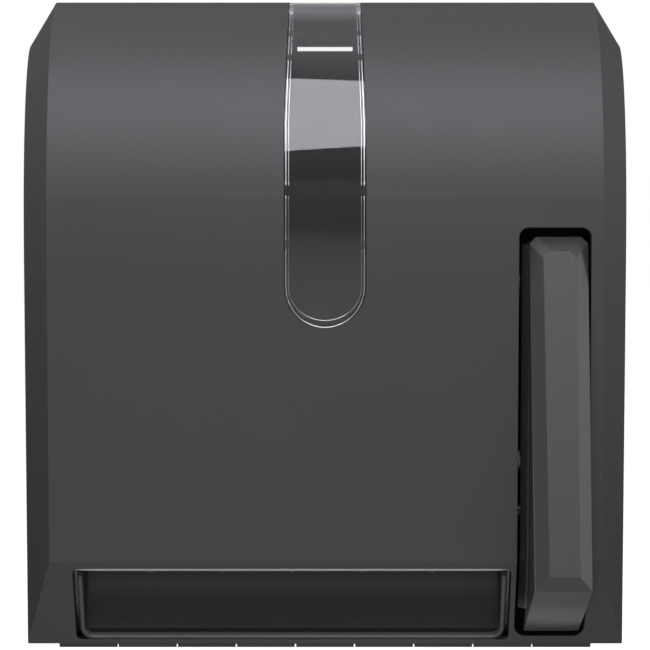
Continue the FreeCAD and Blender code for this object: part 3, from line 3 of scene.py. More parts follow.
import bmesh
import bpy
import numpy as np
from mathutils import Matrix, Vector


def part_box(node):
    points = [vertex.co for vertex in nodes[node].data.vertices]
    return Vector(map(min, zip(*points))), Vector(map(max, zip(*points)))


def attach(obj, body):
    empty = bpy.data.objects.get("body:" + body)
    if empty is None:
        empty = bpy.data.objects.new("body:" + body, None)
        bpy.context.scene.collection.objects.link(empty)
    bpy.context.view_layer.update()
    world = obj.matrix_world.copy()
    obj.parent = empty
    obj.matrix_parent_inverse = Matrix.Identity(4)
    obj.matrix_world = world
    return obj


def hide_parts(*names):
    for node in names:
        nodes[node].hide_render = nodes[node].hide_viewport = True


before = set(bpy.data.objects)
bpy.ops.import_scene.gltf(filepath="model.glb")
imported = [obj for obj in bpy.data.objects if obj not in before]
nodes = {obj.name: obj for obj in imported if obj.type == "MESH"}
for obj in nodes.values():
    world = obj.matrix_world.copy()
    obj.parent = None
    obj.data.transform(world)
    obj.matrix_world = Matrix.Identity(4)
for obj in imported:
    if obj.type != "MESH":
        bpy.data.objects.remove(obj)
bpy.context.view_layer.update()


# ---------------------------------------------------------------- rear housing
# The tray that is screwed to the wall and carries all the rest. It is injection moulded in
# charcoal ABS, with a fine spark-eroded grain on the faces that show and ribs inside.

class Value:
    """One output of a shader node. A sign between Values, or a Value and a number, adds one Math node."""

    def __init__(self, finish, socket):
        self.finish = finish
        self.socket = socket

    def sign(self, operation, *terms):
        return self.finish.node("ShaderNodeMath", {"operation": operation}, dict(enumerate(terms)))

    def __add__(self, other):
        return self.sign("ADD", self, other)

    def __radd__(self, other):
        return self.sign("ADD", other, self)

    def __sub__(self, other):
        return self.sign("SUBTRACT", self, other)

    def __rsub__(self, other):
        return self.sign("SUBTRACT", other, self)

    def __mul__(self, other):
        return self.sign("MULTIPLY", self, other)

    def __rmul__(self, other):
        return self.sign("MULTIPLY", other, self)


class Finish:
    """A procedural material in the making, on Object coordinates in metres."""

    def __init__(self, name):
        self.material = bpy.data.materials.new(name)
        self.material.use_nodes = True
        self.tree = self.material.node_tree
        self.tree.nodes.clear()
        self.place = self.node("ShaderNodeTexCoord", out="Object")

    def node(self, kind, settings={}, inputs={}, out=0):
        """Adds a node, sets it, then fills its sockets, and gives the output named or numbered out."""
        new = self.tree.nodes.new(kind)
        for name, value in settings.items():
            setattr(new, name, value)
        for name, value in inputs.items():
            if isinstance(value, Value):
                self.tree.links.new(value.socket, new.inputs[name])
            else:
                new.inputs[name].default_value = value
        return Value(self, new.outputs[out])

    def noise(self, size, detail=2.0, stretch=(1, 1, 1), roughness=0.5):
        """Soft noise from 0 to 1. Its patches are about size metres across, and longer where stretch
        is small."""
        spread = self.node("ShaderNodeMapping", {}, {"Vector": self.place, "Scale": stretch})
        return self.node("ShaderNodeTexNoise", {}, {
            "Vector": spread, "Scale": 0.6 / size, "Detail": detail, "Roughness": roughness})

    def step(self, value, low, high):
        """0 below low, 1 above high, and a smooth rise between them."""
        return self.node("ShaderNodeMapRange", {"interpolation_type": "SMOOTHSTEP"}, {
            "Value": value, "From Min": low, "From Max": high})

    def blend(self, share, first, second):
        """A colour that goes from first to second as share goes from 0 to 1."""
        return self.node("ShaderNodeMix", {"data_type": "RGBA"}, {0: share, 6: first, 7: second}, out=2)

    def soft_edges(self, radius, height=None, depth=0.00002, strength=1.0):
        """A normal that rounds each corner over radius metres, with an optional bump of that depth."""
        rounded = self.node("ShaderNodeBevel", {"samples": 4}, {"Radius": radius})
        if height is None:
            return rounded
        return self.node("ShaderNodeBump", {}, {
            "Strength": strength, "Distance": depth, "Height": height, "Normal": rounded})

    def skin(self, **sockets):
        """The Principled shader with these sockets, joined to the material's output."""
        names = {name.replace("_", " "): value for name, value in sockets.items()}
        shader = self.node("ShaderNodeBsdfPrincipled", {}, names)
        output = self.tree.nodes.new("ShaderNodeOutputMaterial")
        self.tree.links.new(shader.socket, output.inputs["Surface"])


def grey(level, warmth=0.0):
    """A near-grey colour in linear values, a little warmer or cooler."""
    return (level * (1 + warmth), level, level * (1 - warmth), 1.0)


def dress(finish, *names):
    """Gives the finish to CAD nodes, whose meshes stay as they are."""
    for name in names:
        for place in nodes[name].material_slots:
            place.material = finish.material


charcoal_level = 0.0188
charcoal_gloss = 0.42


def charcoal_finish(name, level, roughness, grain, painted_foot_light=None):
    """Charcoal ABS with moulded grain: tiny pits, faint flow marks and a slightly uneven sheen. The last
    argument, if given as (paler, low, high), paints it paler by that level from the height high down to low:
    a painted highlight for the light from below."""
    finish = Finish(name)
    pits = finish.noise(grain, 3.0, roughness=0.6)
    flow = finish.noise(0.05, 3.0)
    rub = finish.noise(0.012, 4.0, stretch=(1, 1, 0.35))
    tone = 0.45 * flow + 0.35 * rub + 0.2 * pits
    paint = finish.blend(tone, grey(level * 0.9, -0.012), grey(level * 1.1, -0.008))
    # Painted highlight: below the given height the colour is painted paler for the light from below.
    if painted_foot_light:
        paler, low, high = painted_foot_light
        up = finish.node("ShaderNodeSeparateXYZ", {}, {"Vector": finish.place}, out="Z")
        foot_light_share = (1 - finish.step(up, low, high)) * (0.7 + 0.6 * rub)
        paint = finish.blend(foot_light_share, paint, grey(level + paler, -0.01))
    finish.skin(
        Base_Color=paint,
        Roughness=roughness - 0.05 + 0.1 * tone,
        Specular_IOR_Level=charcoal_gloss,
        Normal=finish.soft_edges(0.0006, pits, 0.00003, 0.6))
    return finish


cover_charcoal = charcoal_finish("cover_charcoal", charcoal_level, 0.5, 0.0005)
housing_charcoal = charcoal_finish("housing_charcoal", charcoal_level * 0.85, 0.55, 0.0006)
dress(housing_charcoal, "rear_housing")


# ------------------------------------------------- side frames and their screws
# Three upright plates hold the rollers and gears. They are pressed from galvanised sheet, so
# they show zinc spangle, and cross-head screws with domed heads hold them to the housing.

def sheet_steel_finish():
    """Galvanised sheet: zinc crystals a few millimetres across, each with its own shade and sheen."""
    finish = Finish("galvanised_sheet")
    crystals = finish.node("ShaderNodeTexVoronoi", {"feature": "F1"}, {
        "Vector": finish.place, "Scale": 220.0, "Randomness": 1.0}, out="Color")
    shade = finish.node("ShaderNodeSeparateColor", {}, {"Color": crystals}, out="Red")
    haze = finish.noise(0.02, 4.0)
    finish.skin(
        Base_Color=finish.blend(0.6 * shade + 0.4 * haze, grey(0.34, -0.01), grey(0.58, -0.015)),
        Metallic=1.0,
        Roughness=0.34 + 0.14 * shade + 0.1 * haze,
        Normal=finish.soft_edges(0.0003, haze, 0.00004, 0.4))
    return finish


def drawn_steel_finish(name, level, roughness, stretch, warmth=0.0):
    """Zinc-plated or bright steel, with fine tool lines drawn out along one direction."""
    finish = Finish(name)
    lines = finish.noise(0.0004, 2.0, stretch=stretch)
    bloom = finish.noise(0.006, 3.0)
    tone = 0.5 * lines + 0.5 * bloom
    finish.skin(
        Base_Color=finish.blend(tone, grey(level * 0.8, warmth), grey(level * 1.15, warmth)),
        Metallic=1.0,
        Roughness=roughness - 0.07 + 0.14 * bloom,
        Normal=finish.soft_edges(0.0002, lines, 0.000006, 0.5))
    return finish


galvanised = sheet_steel_finish()
zinc_plate = drawn_steel_finish("zinc_plate", 0.52, 0.36, (1, 1, 1), 0.012)
dress(galvanised, "left_frame", "right_frame", "lever_frame")


def closed_skin(name, points, finish, body, stands_for=(), rings_close=False, crease=35):
    """A piece from points[copy, ring, column]. Columns close round. The first and last ring either
    meet each other (rings_close) or each shrink to one point, so that the skin has no hole."""
    copies, rings, columns = points.shape[:3]
    index = np.arange(copies * rings * columns).reshape(copies, rings, columns)
    if rings_close:
        index = np.concatenate([index, index[:, :1]], axis=1)
    index = np.concatenate([index, index[:, :, :1]], axis=2)
    corners = [index[:, :-1, :-1], index[:, :-1, 1:], index[:, 1:, 1:], index[:, 1:, :-1]]
    faces = np.stack(corners, axis=-1).reshape(-1, 4)
    mesh = bpy.data.meshes.new(name)
    mesh.from_pydata(points.reshape(-1, 3), [], faces)
    work = bmesh.new()
    work.from_mesh(mesh)
    bmesh.ops.remove_doubles(work, verts=work.verts, dist=1e-7)
    bmesh.ops.recalc_face_normals(work, faces=work.faces)
    work.to_mesh(mesh)
    work.free()
    mesh.shade_smooth()
    mesh.set_sharp_from_angle(angle=math.radians(crease))
    piece = bpy.data.objects.new(name, mesh)
    bpy.context.scene.collection.objects.link(piece)
    mesh.materials.append(finish.material)
    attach(piece, body)
    if stands_for:
        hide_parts(*stands_for)


def smooth_step(value):
    """0 below 0, 1 above 1, and the usual cubic between them."""
    kept = np.clip(value, 0, 1)
    return kept * kept * (3 - 2 * kept)


head_radius = 0.0036
head_height = 0.0020
screw_shank_radius = 0.0019
cross_length = 0.0021
cross_half_width = 0.00042
cross_depth = 0.0013
cross_end_ramp = 0.0008
cross_side_ramp = 0.0002
turn_step = 37.0
# The turn of each axis (across, up, out of the head) into the shared frame, by where the head faces.
facing = {
    "front": np.array([[1, 0, 0], [0, 0, 1], [0, -1, 0]]),
    "left": np.array([[0, 1, 0], [0, 0, 1], [-1, 0, 0]]),
    "right": np.array([[0, 1, 0], [0, 0, 1], [1, 0, 0]]),
}


def screws(name, seats, side, length, body, node):
    """Cross-head screws, each turned turn_step degrees on from the last. Ring by ring: a domed top,
    height * (1 - 0.45 (r / head radius)^2.4), less a cross that tapers to its floor, then the rim, the
    flat under the head, the shank and its point."""
    angle = np.linspace(0, 2 * math.pi, 48, endpoint=False)
    top = np.concatenate([np.linspace(0, 0.7, 18), np.linspace(0.74, 1, 7)]) * head_radius
    radius = np.concatenate([top, [head_radius, screw_shank_radius, screw_shank_radius, 0]])
    dome = head_height * (1 - 0.45 * (top / head_radius) ** 2.4)
    height = np.concatenate([dome, [0, 0, screw_shank_radius - length, -length]])
    across = radius[:, None] * np.cos(angle)
    up = radius[:, None] * np.sin(angle)
    arms = [smooth_step((cross_length - abs(along)) / cross_end_ramp)
            * smooth_step((cross_half_width - abs(beside)) / cross_side_ramp + 0.5)
            for along, beside in ((across, up), (up, across))]
    out = np.repeat(height[:, None], len(angle), axis=1)
    out[:len(top)] -= cross_depth * np.maximum(*arms)[:len(top)]
    local = np.stack([across, up, out], axis=-1)
    turns = np.radians(turn_step * np.arange(len(seats)))
    spun = np.stack([
        np.stack([np.cos(turns), np.sin(turns), 0 * turns], axis=-1),
        np.stack([-np.sin(turns), np.cos(turns), 0 * turns], axis=-1),
        np.stack([0 * turns, 0 * turns, 1 + 0 * turns], axis=-1)], axis=1)
    placed = np.einsum("rcv,kvw->krcw", local, spun)
    sides = np.stack([facing[s] for s in side])
    placed = np.einsum("krcv,kvw->krcw", placed, sides) + np.array(seats)[:, None, None, :]
    closed_skin(name, placed, zinc_plate, body, (node,), crease=40)


long_screw, short_screw = 0.0085, 0.0060
wall_seat = -0.0095
wall_screw_places = [
    (-0.1471, -0.158), (-0.1471, -0.074), (0.1109, -0.158), (0.1109, 0.030), (0.1404, -0.118),
    (0.1404, 0.030), (0.07545, 0.083), (0.07545, 0.037), (-0.11165, 0.083), (-0.11165, 0.037),
    (0.116, 0.140)]
screws("frame_screws_cross_head", [(x, wall_seat, z) for x, z in wall_screw_places],
       ["front"] * len(wall_screw_places), long_screw, "housing", "frame_screws")


# ------------------------------------------------------------------ feed roller
# The roller that pulls the towel down. Three rubber sleeves with fine flutes are pushed on a
# ribbed black core, on a ground steel shaft that turns in white acetal bushes.

ground_steel = drawn_steel_finish("ground_steel", 0.6, 0.24, (1, 0.02, 0.02))


def moulded_finish(name, low, high, roughness, gloss, warmth=0.0):
    """A plain moulded plastic part: satin, with slow shade changes, a faint grain and soft corners."""
    finish = Finish(name)
    cloud = finish.noise(0.015, 3.0)
    grain = finish.noise(0.0004, 2.0)
    tone = 0.7 * cloud + 0.3 * grain
    finish.skin(
        Base_Color=finish.blend(tone, grey(low, warmth), grey(high, warmth)),
        Roughness=roughness - 0.06 + 0.12 * tone,
        Specular_IOR_Level=gloss,
        Normal=finish.soft_edges(0.0004, grain, 0.00002, 0.5))
    return finish


def rubber_finish():
    """Black nitrile rubber: dull, with paper dust that settles in pale patches."""
    finish = Finish("nitrile_rubber")
    dust_and_painted_light = finish.step(finish.noise(0.004, 5.0, roughness=0.65), 0.45, 0.75)
    fine = finish.noise(0.0003, 2.0)
    finish.skin(
        Base_Color=finish.blend(dust_and_painted_light, grey(0.016), grey(0.06, 0.02)),
        Roughness=0.72 + 0.16 * dust_and_painted_light,
        Specular_IOR_Level=0.35,
        Normal=finish.soft_edges(0.0003, fine, 0.00004, 0.7))
    return finish


core_black = moulded_finish("core_black", 0.018, 0.03, 0.42, 0.4)
acetal_white = moulded_finish("acetal_white", 0.58, 0.72, 0.36, 0.5, 0.03)
nitrile = rubber_finish()
dress(ground_steel, "feed_shaft")
dress(core_black, "feed_core")
dress(acetal_white, "feed_bushes")


sleeve_middles = np.array([-0.0881, -0.0181, 0.0519])
feed_y, feed_z = -0.150, -0.105
easing = 0.0006


def fluted_rings(name, width, bore, radius, flutes, flute_depth, grooves, axis_y, body, node):
    """Three rubber rings round a shaft along X, level with the feed shaft. The outside is radius - flute
    depth * |sin(flutes * angle / 2)|^0.6, less shallow grooves round it, with ends rounded by easing;
    the bore is a plain tube."""
    angle = np.linspace(0, 2 * math.pi, flutes * 6, endpoint=False)
    half = width / 2
    run = np.concatenate([
        -half + easing * (1 - np.cos(np.linspace(0, math.pi / 2, 4))),
        np.linspace(-half + 2 * easing, half - 2 * easing, 8 * grooves + 1),
        half - easing * (1 - np.cos(np.linspace(math.pi / 2, 0, 4)))])
    edge = np.clip((half - abs(run)) / easing, 0, 1)
    crown = radius - easing * (1 - np.sqrt(1 - (1 - edge) ** 2))
    ripple = 0.5 - 0.5 * np.cos(2 * math.pi * grooves * (run + half) / width)
    middle = smooth_step((half - abs(run)) / 0.002)
    depth = flute_depth * abs(np.sin(flutes * angle / 2)) ** 0.6
    outside = crown[:, None] - middle[:, None] * depth - (middle * ripple)[:, None] * flute_depth * 0.5
    inside = np.full((2, len(angle)), bore)
    reach = np.concatenate([outside, inside])
    along = np.concatenate([run, [half, -half]])
    grid = np.stack([
        np.repeat(along[:, None], len(angle), axis=1),
        axis_y + reach * np.cos(angle), feed_z + reach * np.sin(angle)], axis=-1)
    shifts = np.zeros((len(sleeve_middles), 1, 1, 3))
    shifts[:, 0, 0, 0] = sleeve_middles
    closed_skin(name, grid[None] + shifts, nitrile, body, (node,), rings_close=True, crease=50)


fluted_rings("rubber_sleeves_fluted", 0.044, 0.0134, 0.016, 40, 0.0006, 5, feed_y, "feed", "rubber_sleeves")


# ------------------------------------------------------------------ gear train
# A toothed sector on the lever drives a compound idler, and that drives the pinion on the feed
# shaft. The wheels are moulded in white acetal with a film of pale grease, on steel pins.

def greased_finish():
    """Acetal with grease: yellowed, glossy patches over a satin white."""
    finish = Finish("greased_acetal")
    smear = finish.step(finish.noise(0.007, 4.0, roughness=0.6), 0.5, 0.68)
    cloud = finish.noise(0.02, 2.0)
    finish.skin(
        Base_Color=finish.blend(0.75 * smear + 0.25 * cloud, grey(0.66, 0.02), (0.5, 0.46, 0.36, 1)),
        Roughness=0.42 - 0.2 * smear,
        Specular_IOR_Level=0.5,
        Normal=finish.soft_edges(0.0003, smear, 0.00004, 0.4))
    return finish


greased_acetal = greased_finish()
dress(greased_acetal, "feed_pinion", "idler_gear")
dress(ground_steel, "idler_pin", "lever_pivot_pin")
dress(zinc_plate, "pin_clips")


# ----------------------------------------------------------------------- lever
# The long pusher at the right. Its handle is charcoal ABS like the cover, with broad chamfers,
# and its gear sector is screwed on behind. A wire spring lifts it back on to a rubber bumper.

# The foot of the handle is painted paler: a painted highlight for the light from below that falls on it.
lever_charcoal = charcoal_finish("lever_charcoal", charcoal_level * 1.15, 0.46, 0.0005,
                                 painted_foot_light=(0.14, -0.167, -0.147))
dress(lever_charcoal, "lever_paddle")
dress(greased_acetal, "lever_sector")
dress(nitrile, "lever_bumper")
screws("sector_screws_cross_head", [(0.1105, -0.1996, 0.0275), (0.1105, -0.1996, 0.003)], ["left"] * 2,
       long_screw, "lever", "sector_screws")


def carried(path, up, wide, deep, boxy=1.0, columns=12):
    """An oval carried along a path, shut to a point at each end. Ring = path point + wide * cos(t)^boxy
    * side + deep * sin(t)^boxy * rise, where side is square to the path and up, and rise to both."""
    heading = np.gradient(path, axis=0)
    heading /= np.linalg.norm(heading, axis=1, keepdims=True)
    side = np.cross(heading, up)
    side /= np.linalg.norm(side, axis=1, keepdims=True)
    rise = np.cross(side, heading)
    ends = np.r_[0, 0:len(path), len(path) - 1]
    size = np.stack([np.broadcast_to(half, len(path)) for half in (wide, deep)])
    size = np.pad(size, ((0, 0), (1, 1)))
    angle = np.linspace(0, 2 * math.pi, columns, endpoint=False)
    wave = np.stack([np.cos(angle), np.sin(angle)])
    wave = np.sign(wave) * abs(wave) ** boxy
    across = (size[0][:, None] * wave[0])[..., None] * side[ends][:, None]
    over = (size[1][:, None] * wave[1])[..., None] * rise[ends][:, None]
    return path[ends][:, None] + across + over


def wire_spring(name, starts, coil_radius, wire_radius, turns, first_leg, second_leg, along_x, body, node):
    """A round wire carried along a leg, a helix of that many turns and a second leg. The helix is
    (R cos t, R sin t, pitch t / 2 pi) about Z, and is laid along X where along_x is set."""
    pitch = 2 * wire_radius + coil_gap
    bend = np.linspace(0, 2 * math.pi * turns, 28 * turns + 1)
    helix = np.stack([coil_radius * np.cos(bend), coil_radius * np.sin(bend),
                      pitch * bend / (2 * math.pi)], axis=-1)
    lead = np.linspace(1, 0.04, 8)[:, None]
    before = helix[0] + lead * np.array([0, -first_leg, 0])
    after = helix[-1] + lead[::-1] * np.array([0, second_leg, 0])
    tube = carried(np.concatenate([before, helix, after]), np.array([0, 0, 1.0]), wire_radius, wire_radius)
    if along_x:
        tube = np.stack([tube[..., 2], tube[..., 1], -tube[..., 0]], axis=-1)
    placed = tube[None] + np.array(starts)[:, None, None, :]
    closed_skin(name, placed, spring_steel, body, (node,), crease=60)


coil_gap = 0.0003
spring_steel = drawn_steel_finish("spring_steel", 0.42, 0.3, (1, 1, 1))
wire_spring("lever_return_spring_wire", [(0.1048, -0.180, 0.025)], 0.0077, 0.0006, 3, 0.016, 0.016, True,
            "housing", "lever_return_spring")


# --------------------------------------------------------------- pinch rollers
# A light swinging carrier presses three small grooved rubber rollers on to the feed roller, so
# that the towel is gripped. It is black nylon on a steel rod, with a wire spring at each end.

carrier_black = moulded_finish("carrier_black", 0.02, 0.034, 0.48, 0.35)
dress(carrier_black, "pinch_carrier")
dress(ground_steel, "pinch_pivot_rod", "pinch_shaft")
pinch_y = -0.1743
fluted_rings("pinch_rollers_grooved", 0.040, 0.0030, 0.008, 24, 0.0003, 6, pinch_y, "pinch_rolls",
             "pinch_rollers")
wire_spring("pinch_springs_wire", [(-0.1349, -0.184, -0.074), (0.0935, -0.184, -0.074)], 0.0036, 0.0005, 4,
            0.012, 0.012, True, "housing", "pinch_springs")


# ---------------------------------------------------------- chute and tear bar
# The chute is the grey tray that lines the mouth and guides the sheet out. The tear bar behind
# its upper edge is a stainless strip with fine teeth, held by a screw at each end.

def chute_painted_light_finish():
    """The chute's dark plastic, painted greyer towards the top: painted light that lifts the deep shade high
    in the mouth.
    """
    finish = Finish("chute_black_painted_light")
    up = finish.node("ShaderNodeSeparateXYZ", {}, {"Vector": finish.place}, out="Z")
    # Painted light: this share makes the chute greyer towards the top, where the mouth is in deep shade.
    dust_and_painted_light = finish.step(up, -0.166, -0.136)
    cloud = finish.noise(0.012, 3.0)
    finish.skin(
        Base_Color=finish.blend(dust_and_painted_light * (0.85 + 0.3 * cloud), grey(0.010, 0.02), grey(0.035, -0.01)),
        Roughness=0.6 + 0.12 * cloud,
        Specular_IOR_Level=0.12,
        Normal=finish.soft_edges(0.0004))
    return finish


chute_black = chute_painted_light_finish()
chute_grey = moulded_finish("chute_grey", 0.03, 0.038, 0.46, 0.4, -0.01)
brushed_stainless = drawn_steel_finish("brushed_stainless", 0.55, 0.3, (0.02, 1, 1))
dress(chute_black, "paper_chute")
dress(brushed_stainless, "tear_bar")
side_seats = {"left": -0.1401, "right": 0.1039}
chute_screw_places = [(-0.1608, -0.136), (-0.171, -0.154)]
screws("chute_screws_cross_head", [(x, y, z) for x in side_seats.values() for y, z in chute_screw_places],
       [side for side in side_seats for place in chute_screw_places], short_screw, "housing", "chute_screws")
tear_low, tear_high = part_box("tear_bar_screws")
tear_screw_y = (tear_low[1] + tear_high[1]) / 2
tear_screw_z = (tear_low[2] + tear_high[2]) / 2
screws("tear_bar_screws_cross_head", [(x, tear_screw_y, tear_screw_z) for x in side_seats.values()],
       list(side_seats), short_screw, "housing", "tear_bar_screws")

# The chute ends in a rolled U-shaped lip, so that the sheet leaves over a round edge. The lip leans back
# with the foot of the cover, which slopes to the rear below the knee of its front.
knee_y, knee_z, foot_slope = -0.20839, -0.129, math.tan(math.radians(31.6))
lip_left, lip_right, lip_foot, lip_top, lip_bend = -0.1345, 0.0983, -0.1730, -0.1365, 0.0059
lip_setback, lip_half_thick, lip_half_deep = 0.0062, 0.0015, 0.0026
turn = np.linspace(0, math.pi / 2, 10)
lip_x = np.concatenate([np.full(12, lip_left), lip_left + lip_bend * (1 - np.cos(turn)),
                        np.linspace(lip_left + lip_bend, lip_right - lip_bend, 40)[1:-1],
                        lip_right - lip_bend * (1 - np.sin(turn)), np.full(12, lip_right)])
side_run = np.linspace(lip_top, lip_foot + lip_bend, 13)[:-1]
lip_z = np.concatenate([side_run, lip_foot + lip_bend * (1 - np.sin(turn)), np.full(38, lip_foot),
                        lip_foot + lip_bend * (1 - np.cos(turn)), side_run[::-1]])
lip_y = knee_y + (knee_z - lip_z) * foot_slope + lip_setback
lip_out = np.array([0, -1, -foot_slope])
lip_path = np.stack([lip_x, lip_y, lip_z], axis=-1)
closed_skin("chute_lip", carried(lip_path, lip_out, lip_half_thick, lip_half_deep, boxy=0.7)[None],
            chute_grey, "housing", crease=60)


# ------------------------------------------------------------ roll arms and hubs
# Two arms at the top hold the towel roll by round hubs that turn with it. They are moulded in
# black nylon; the left one swings out on a steel pin against a spring to let a new roll in.

arm_nylon = moulded_finish("arm_nylon", 0.03, 0.045, 0.45, 0.35)
hub_nylon = moulded_finish("hub_nylon", 0.036, 0.05, 0.4, 0.4)
dress(arm_nylon, "right_roll_arm", "left_roll_arm", "arm_bracket")
dress(hub_nylon, "left_roll_hub", "right_roll_hub")
dress(ground_steel, "arm_pivot_pin")
wire_spring("arm_spring_wire", [(-0.12365, -0.016, 0.057)], 0.0032, 0.0006, 4, 0.012, 0.0062, False,
            "housing", "arm_spring")


# --------------------------------------------------------------- lock and catch
# A round key lock in the top of the cover turns a steel tongue under a catch on the housing.
# Its barrel and plug are chromed zinc castings, bright, with hairline scratches.

def chrome_finish():
    """Chrome plate: a mirror, dulled a little by fine scratches and handling."""
    finish = Finish("chrome_plate")
    scratches = finish.noise(0.0002, 2.0, stretch=(1, 0.08, 1))
    smudge = finish.noise(0.004, 3.0)
    finish.skin(
        Base_Color=finish.blend(smudge, grey(0.52, -0.01), grey(0.66, -0.01)),
        Metallic=1.0,
        Roughness=0.1 + 0.12 * smudge,
        Normal=finish.soft_edges(0.0002, scratches, 0.000003, 0.4))
    return finish


chrome_plate = chrome_finish()
dress(chrome_plate, "lock_sleeve", "lock_plug")
dress(zinc_plate, "lock_cam", "latch_catch")


# --------------------------------------------------------- front cover and hinge
# The cover wraps the front, the top and both sides in one charcoal shell, and swings down on a
# steel rod through the knuckles at its foot. Its grain is the same as the lever's.

dress(cover_charcoal, "front_cover")
dress(ground_steel, "hinge_rod")

# The upper edge of the mouth is rolled to a thin bead. Its finish is painted much paler than the cover: a
# painted highlight for the light from below on the rounded edge.
rim_painted_highlight = charcoal_finish("rim_painted_highlight", 0.14, 0.4, 0.0005)
rim_left, rim_right, rim_z, rim_setback, rim_radius = -0.1362, 0.1000, -0.1335, 0.0004, 0.0008
rim_run = np.linspace(rim_left, rim_right, 60)
rim_y = knee_y + (knee_z - rim_z) * foot_slope + rim_setback
rim_path = np.stack([rim_run, np.full(60, rim_y), np.full(60, rim_z)], axis=-1)
rim_share = 2 * (rim_run - rim_left) / (rim_right - rim_left) - 1
rim_size = rim_radius * np.sqrt(np.clip(1 - rim_share ** 20, 0.04, 1))
closed_skin("mouth_rim", carried(rim_path, lip_out, rim_size, rim_size)[None],
            rim_painted_highlight, "cover", crease=60)


# ------------------------------------------------------------------ sight window
# A strip of clear polycarbonate, snapped into the cover from inside, that shows how much towel
# is left. It is polished, with faint moulding waves, and it mirrors the studio's softbox.

bend_middle, bend_reach, face_twist = 0.1145, 0.03, -8.3


def clear_finish():
    """Clear polycarbonate, glass-like. Its face is slightly twisted, as if raised by face_twist * x * c^2,
    where c is the height above the middle of the bend, held within bend_reach. So the straight edges
    of a softbox mirrored in it converge."""
    finish = Finish("clear_polycarbonate")
    waves = finish.noise(0.03, 1.0)
    across = finish.node("ShaderNodeSeparateXYZ", {}, {"Vector": finish.place}, out="X")
    up = finish.node("ShaderNodeSeparateXYZ", {}, {"Vector": finish.place}, out="Z")
    near_bend = up - bend_middle
    near_bend = near_bend.sign("MAXIMUM", near_bend, -bend_reach)
    near_bend = near_bend.sign("MINIMUM", near_bend, bend_reach)
    twist = finish.node("ShaderNodeBump", {}, {
        "Strength": 1.0, "Distance": 1.0, "Height": across * near_bend * near_bend * face_twist})
    finish.skin(
        Base_Color=grey(0.9),
        Roughness=0.015 + 0.02 * waves,
        IOR=1.38,
        Transmission_Weight=1.0,
        Normal=finish.node("ShaderNodeBump", {}, {
            "Strength": 0.05, "Distance": 0.0001, "Height": waves, "Normal": twist}))
    return finish


def edge_finish():
    """The pane's polished edge. Light that runs along inside the sheet leaves here, so it is as bright as
    a mirror, less so where the moulding waves are."""
    finish = Finish("polished_edge")
    waves = finish.noise(0.004, 2.0, stretch=(1, 1, 0.3))
    finish.skin(
        Base_Color=finish.blend(waves, grey(0.42), grey(0.6)),
        Metallic=0.85,
        Roughness=0.16 + 0.14 * waves)
    return finish


clear_polycarbonate = clear_finish()
polished_edge = edge_finish()
dress(clear_polycarbonate, "sight_window")

# The outline of the pane's outer face from the side, from its end on the top to its foot.
pane = nodes["sight_window"].data
pane_points = np.empty(len(pane.vertices) * 3, np.float32)
pane.vertices.foreach_get("co", pane_points)
pane_points = pane_points.reshape(-1, 3).astype(float)
look = np.linspace(math.radians(93), math.radians(188), 400)
reach = np.stack([np.cos(look), np.sin(look)], axis=-1) @ pane_points[:, 1:].T
skyline = pane_points[np.argmax(reach, axis=1), 1:]
skyline = skyline[np.concatenate([[True], np.linalg.norm(np.diff(skyline, axis=0), axis=1) > 1e-6])]
skyline_run = np.concatenate([[0], np.cumsum(np.linalg.norm(np.diff(skyline, axis=0), axis=1))])



def run_at(z):
    """The length along the outline, from its end on the top, at that height."""
    return np.interp(-z, -skyline[:, 1], skyline_run)


def on_skyline(run):
    """The points (y, z) at those lengths along the outline."""
    return np.stack([np.interp(run, skyline_run, skyline[:, axis]) for axis in range(2)], axis=-1)


def outward_of(slope):
    """Unit vectors square to the outline and out of the pane, from its slopes (y, z)."""
    slope = slope / np.linalg.norm(slope, axis=1, keepdims=True)
    return np.stack([0 * slope[:, 0], slope[:, 1], -slope[:, 0]], axis=-1)


pane_half, pane_top_half, pane_taper, pane_top, arch_middle = 0.0222, 0.0198, 0.110, 0.181, 0.0204
bead_start, bead_lift, brow_line, brow_blend, low_line, low_blend = 0.006, 0.00008, 0.148, 0.018, 0.075, 0.01
# Where the snap tabs interrupt the beads: the height, half length and share of the bead that is left.
tab_breaks = [(0.1600, 0.0013, 0.15), (0.1457, 0.0016, 0.1), (0.0722, 0.0026, 0.05),
              (0.0432, 0.0022, 0.3), (0.0146, 0.0010, 0.5)]
tab_ramp, swelling_at, swelling_size = 0.0006, 0.0011, 0.6


